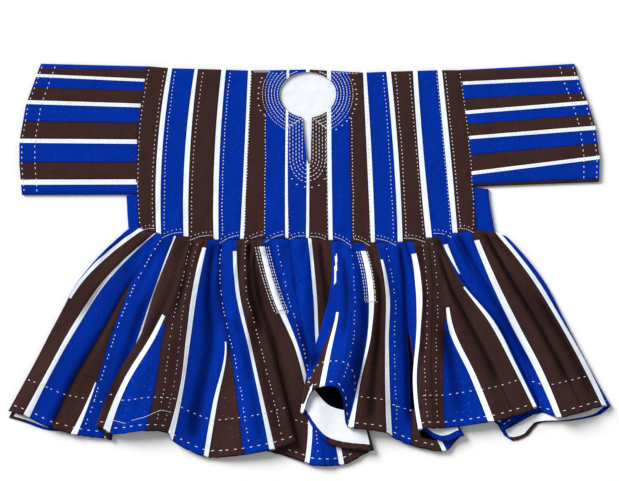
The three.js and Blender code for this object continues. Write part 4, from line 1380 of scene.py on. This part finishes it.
# The height of the cloth at which the picture's scale holds.
CLOTH_LEVEL = 0.012
KEY_PLACE = (-2.2, 2.0, 1.9)
KEY_STRENGTH = 4.05
SKY_STRENGTH = 0.4


def stage():
    bpy.ops.object.select_all(action="DESELECT")
    bpy.ops.mesh.primitive_plane_add(size=8.0, location=(0, 0, -0.0004))
    floor = bpy.context.object
    floor.name = "floor"
    floor.data.materials.append(material("floor"))
    scene = bpy.context.scene
    scene.view_settings.view_transform = "Standard"
    scene.world = bpy.data.worlds.new("studio")
    scene.world.use_nodes = True
    sky = scene.world.node_tree.nodes["Background"]
    sky.inputs["Color"].default_value = (1.0, 1.0, 1.0, 1.0)
    sky.inputs["Strength"].default_value = SKY_STRENGTH
    key = bpy.data.lights.new("key", "SUN")
    key.energy = KEY_STRENGTH
    key.angle = math.radians(28)
    lamp = bpy.data.objects.new("key", key)
    scene.collection.objects.link(lamp)
    lamp.location = KEY_PLACE
    lamp.rotation_euler = (-lamp.location).to_track_quat("-Z", "Y").to_euler()
    camera = bpy.data.cameras.new("camera")
    camera.lens = camera.sensor_width * CAMERA_DISTANCE / (PHOTO_WIDTH * MM_PER_PIXEL * MM)
    eye = bpy.data.objects.new("camera", camera)
    scene.collection.objects.link(eye)
    eye.location = (0.0, PHOTO_MIDDLE_Y * MM, CAMERA_DISTANCE + CLOTH_LEVEL)
    scene.camera = eye


# Operators, panel and registration


# Finished pieces that a later operator needs.
MADE = {}


class SMOCK_OT_stage(bpy.types.Operator):
    """Adds the white surface, the studio light and the camera"""

    bl_idname = "smock.stage"
    bl_label = "Stage"

    def execute(self, context):
        stage()
        return {"FINISHED"}


class SMOCK_OT_body(bpy.types.Operator):
    """Builds the front and back of the body"""

    bl_idname = "smock.body"
    bl_label = "Body"

    def execute(self, context):
        back_body()
        MADE["front"] = front_body()
        return {"FINISHED"}


class SMOCK_OT_sleeves(bpy.types.Operator):
    """Builds both sleeves and the side gores under them"""

    bl_idname = "smock.sleeves"
    bl_label = "Sleeves and Gores"

    def execute(self, context):
        MADE["sleeves"] = sleeves() + gores()
        return {"FINISHED"}


class SMOCK_OT_skirt(bpy.types.Operator):
    """Builds the pleated front skirt and the back skirt"""

    bl_idname = "smock.skirt"
    bl_label = "Skirt"

    def execute(self, context):
        back_skirt()
        MADE["skirt"], MADE["skirt_points"], MADE["skirt_starts"] = front_skirt()
        return {"FINISHED"}


class SMOCK_OT_linings(bpy.types.Operator):
    """Builds the white linings that show and the pocket mouths"""

    bl_idname = "smock.linings"
    bl_label = "Linings and Pockets"

    def execute(self, context):
        neck_lining()
        hem_lining()
        flute_linings(MADE["skirt_points"], MADE["skirt_starts"])
        MADE["pockets"] = pockets(MADE["skirt_points"], MADE["skirt_starts"])
        return {"FINISHED"}


class SMOCK_OT_stitching(bpy.types.Operator):
    """Sews the neck ornament and all the running stitches"""

    bl_idname = "smock.stitching"
    bl_label = "Stitching"

    def execute(self, context):
        cloths = [MADE["front"], MADE["skirt"]] + MADE["sleeves"] + MADE["pockets"]
        stitching(cloths, MADE["skirt_points"], MADE["skirt_starts"])
        return {"FINISHED"}


STEPS = (
    SMOCK_OT_stage, SMOCK_OT_body, SMOCK_OT_sleeves, SMOCK_OT_skirt, SMOCK_OT_linings, SMOCK_OT_stitching,
)


class SMOCK_PT_panel(bpy.types.Panel):
    """Lists the smock's steps, sizes and colours"""

    bl_idname = "SMOCK_PT_panel"
    bl_label = "Smock"
    bl_space_type = "VIEW_3D"
    bl_region_type = "UI"
    bl_category = "Smock"

    def draw(self, context):
        for step in STEPS:
            self.layout.operator(step.bl_idname)
        for group in (context.scene.smock_sizes, context.scene.smock_colours):
            for name in group.__annotations__:
                self.layout.prop(group, name)


CLASSES = (SmockSizes, SmockColours) + STEPS + (SMOCK_PT_panel,)


def register():
    for cls in CLASSES:
        bpy.utils.register_class(cls)
    bpy.types.Scene.smock_sizes = bpy.props.PointerProperty(type=SmockSizes)
    bpy.types.Scene.smock_colours = bpy.props.PointerProperty(type=SmockColours)


def unregister():
    del bpy.types.Scene.smock_colours
    del bpy.types.Scene.smock_sizes
    for cls in reversed(CLASSES):
        bpy.utils.unregister_class(cls)


def main():
    register()
    bpy.ops.smock.stage()
    bpy.ops.smock.body()
    bpy.ops.smock.sleeves()
    bpy.ops.smock.skirt()
    bpy.ops.smock.linings()
    bpy.ops.smock.stitching()


if __name__ == "__main__":
    main()
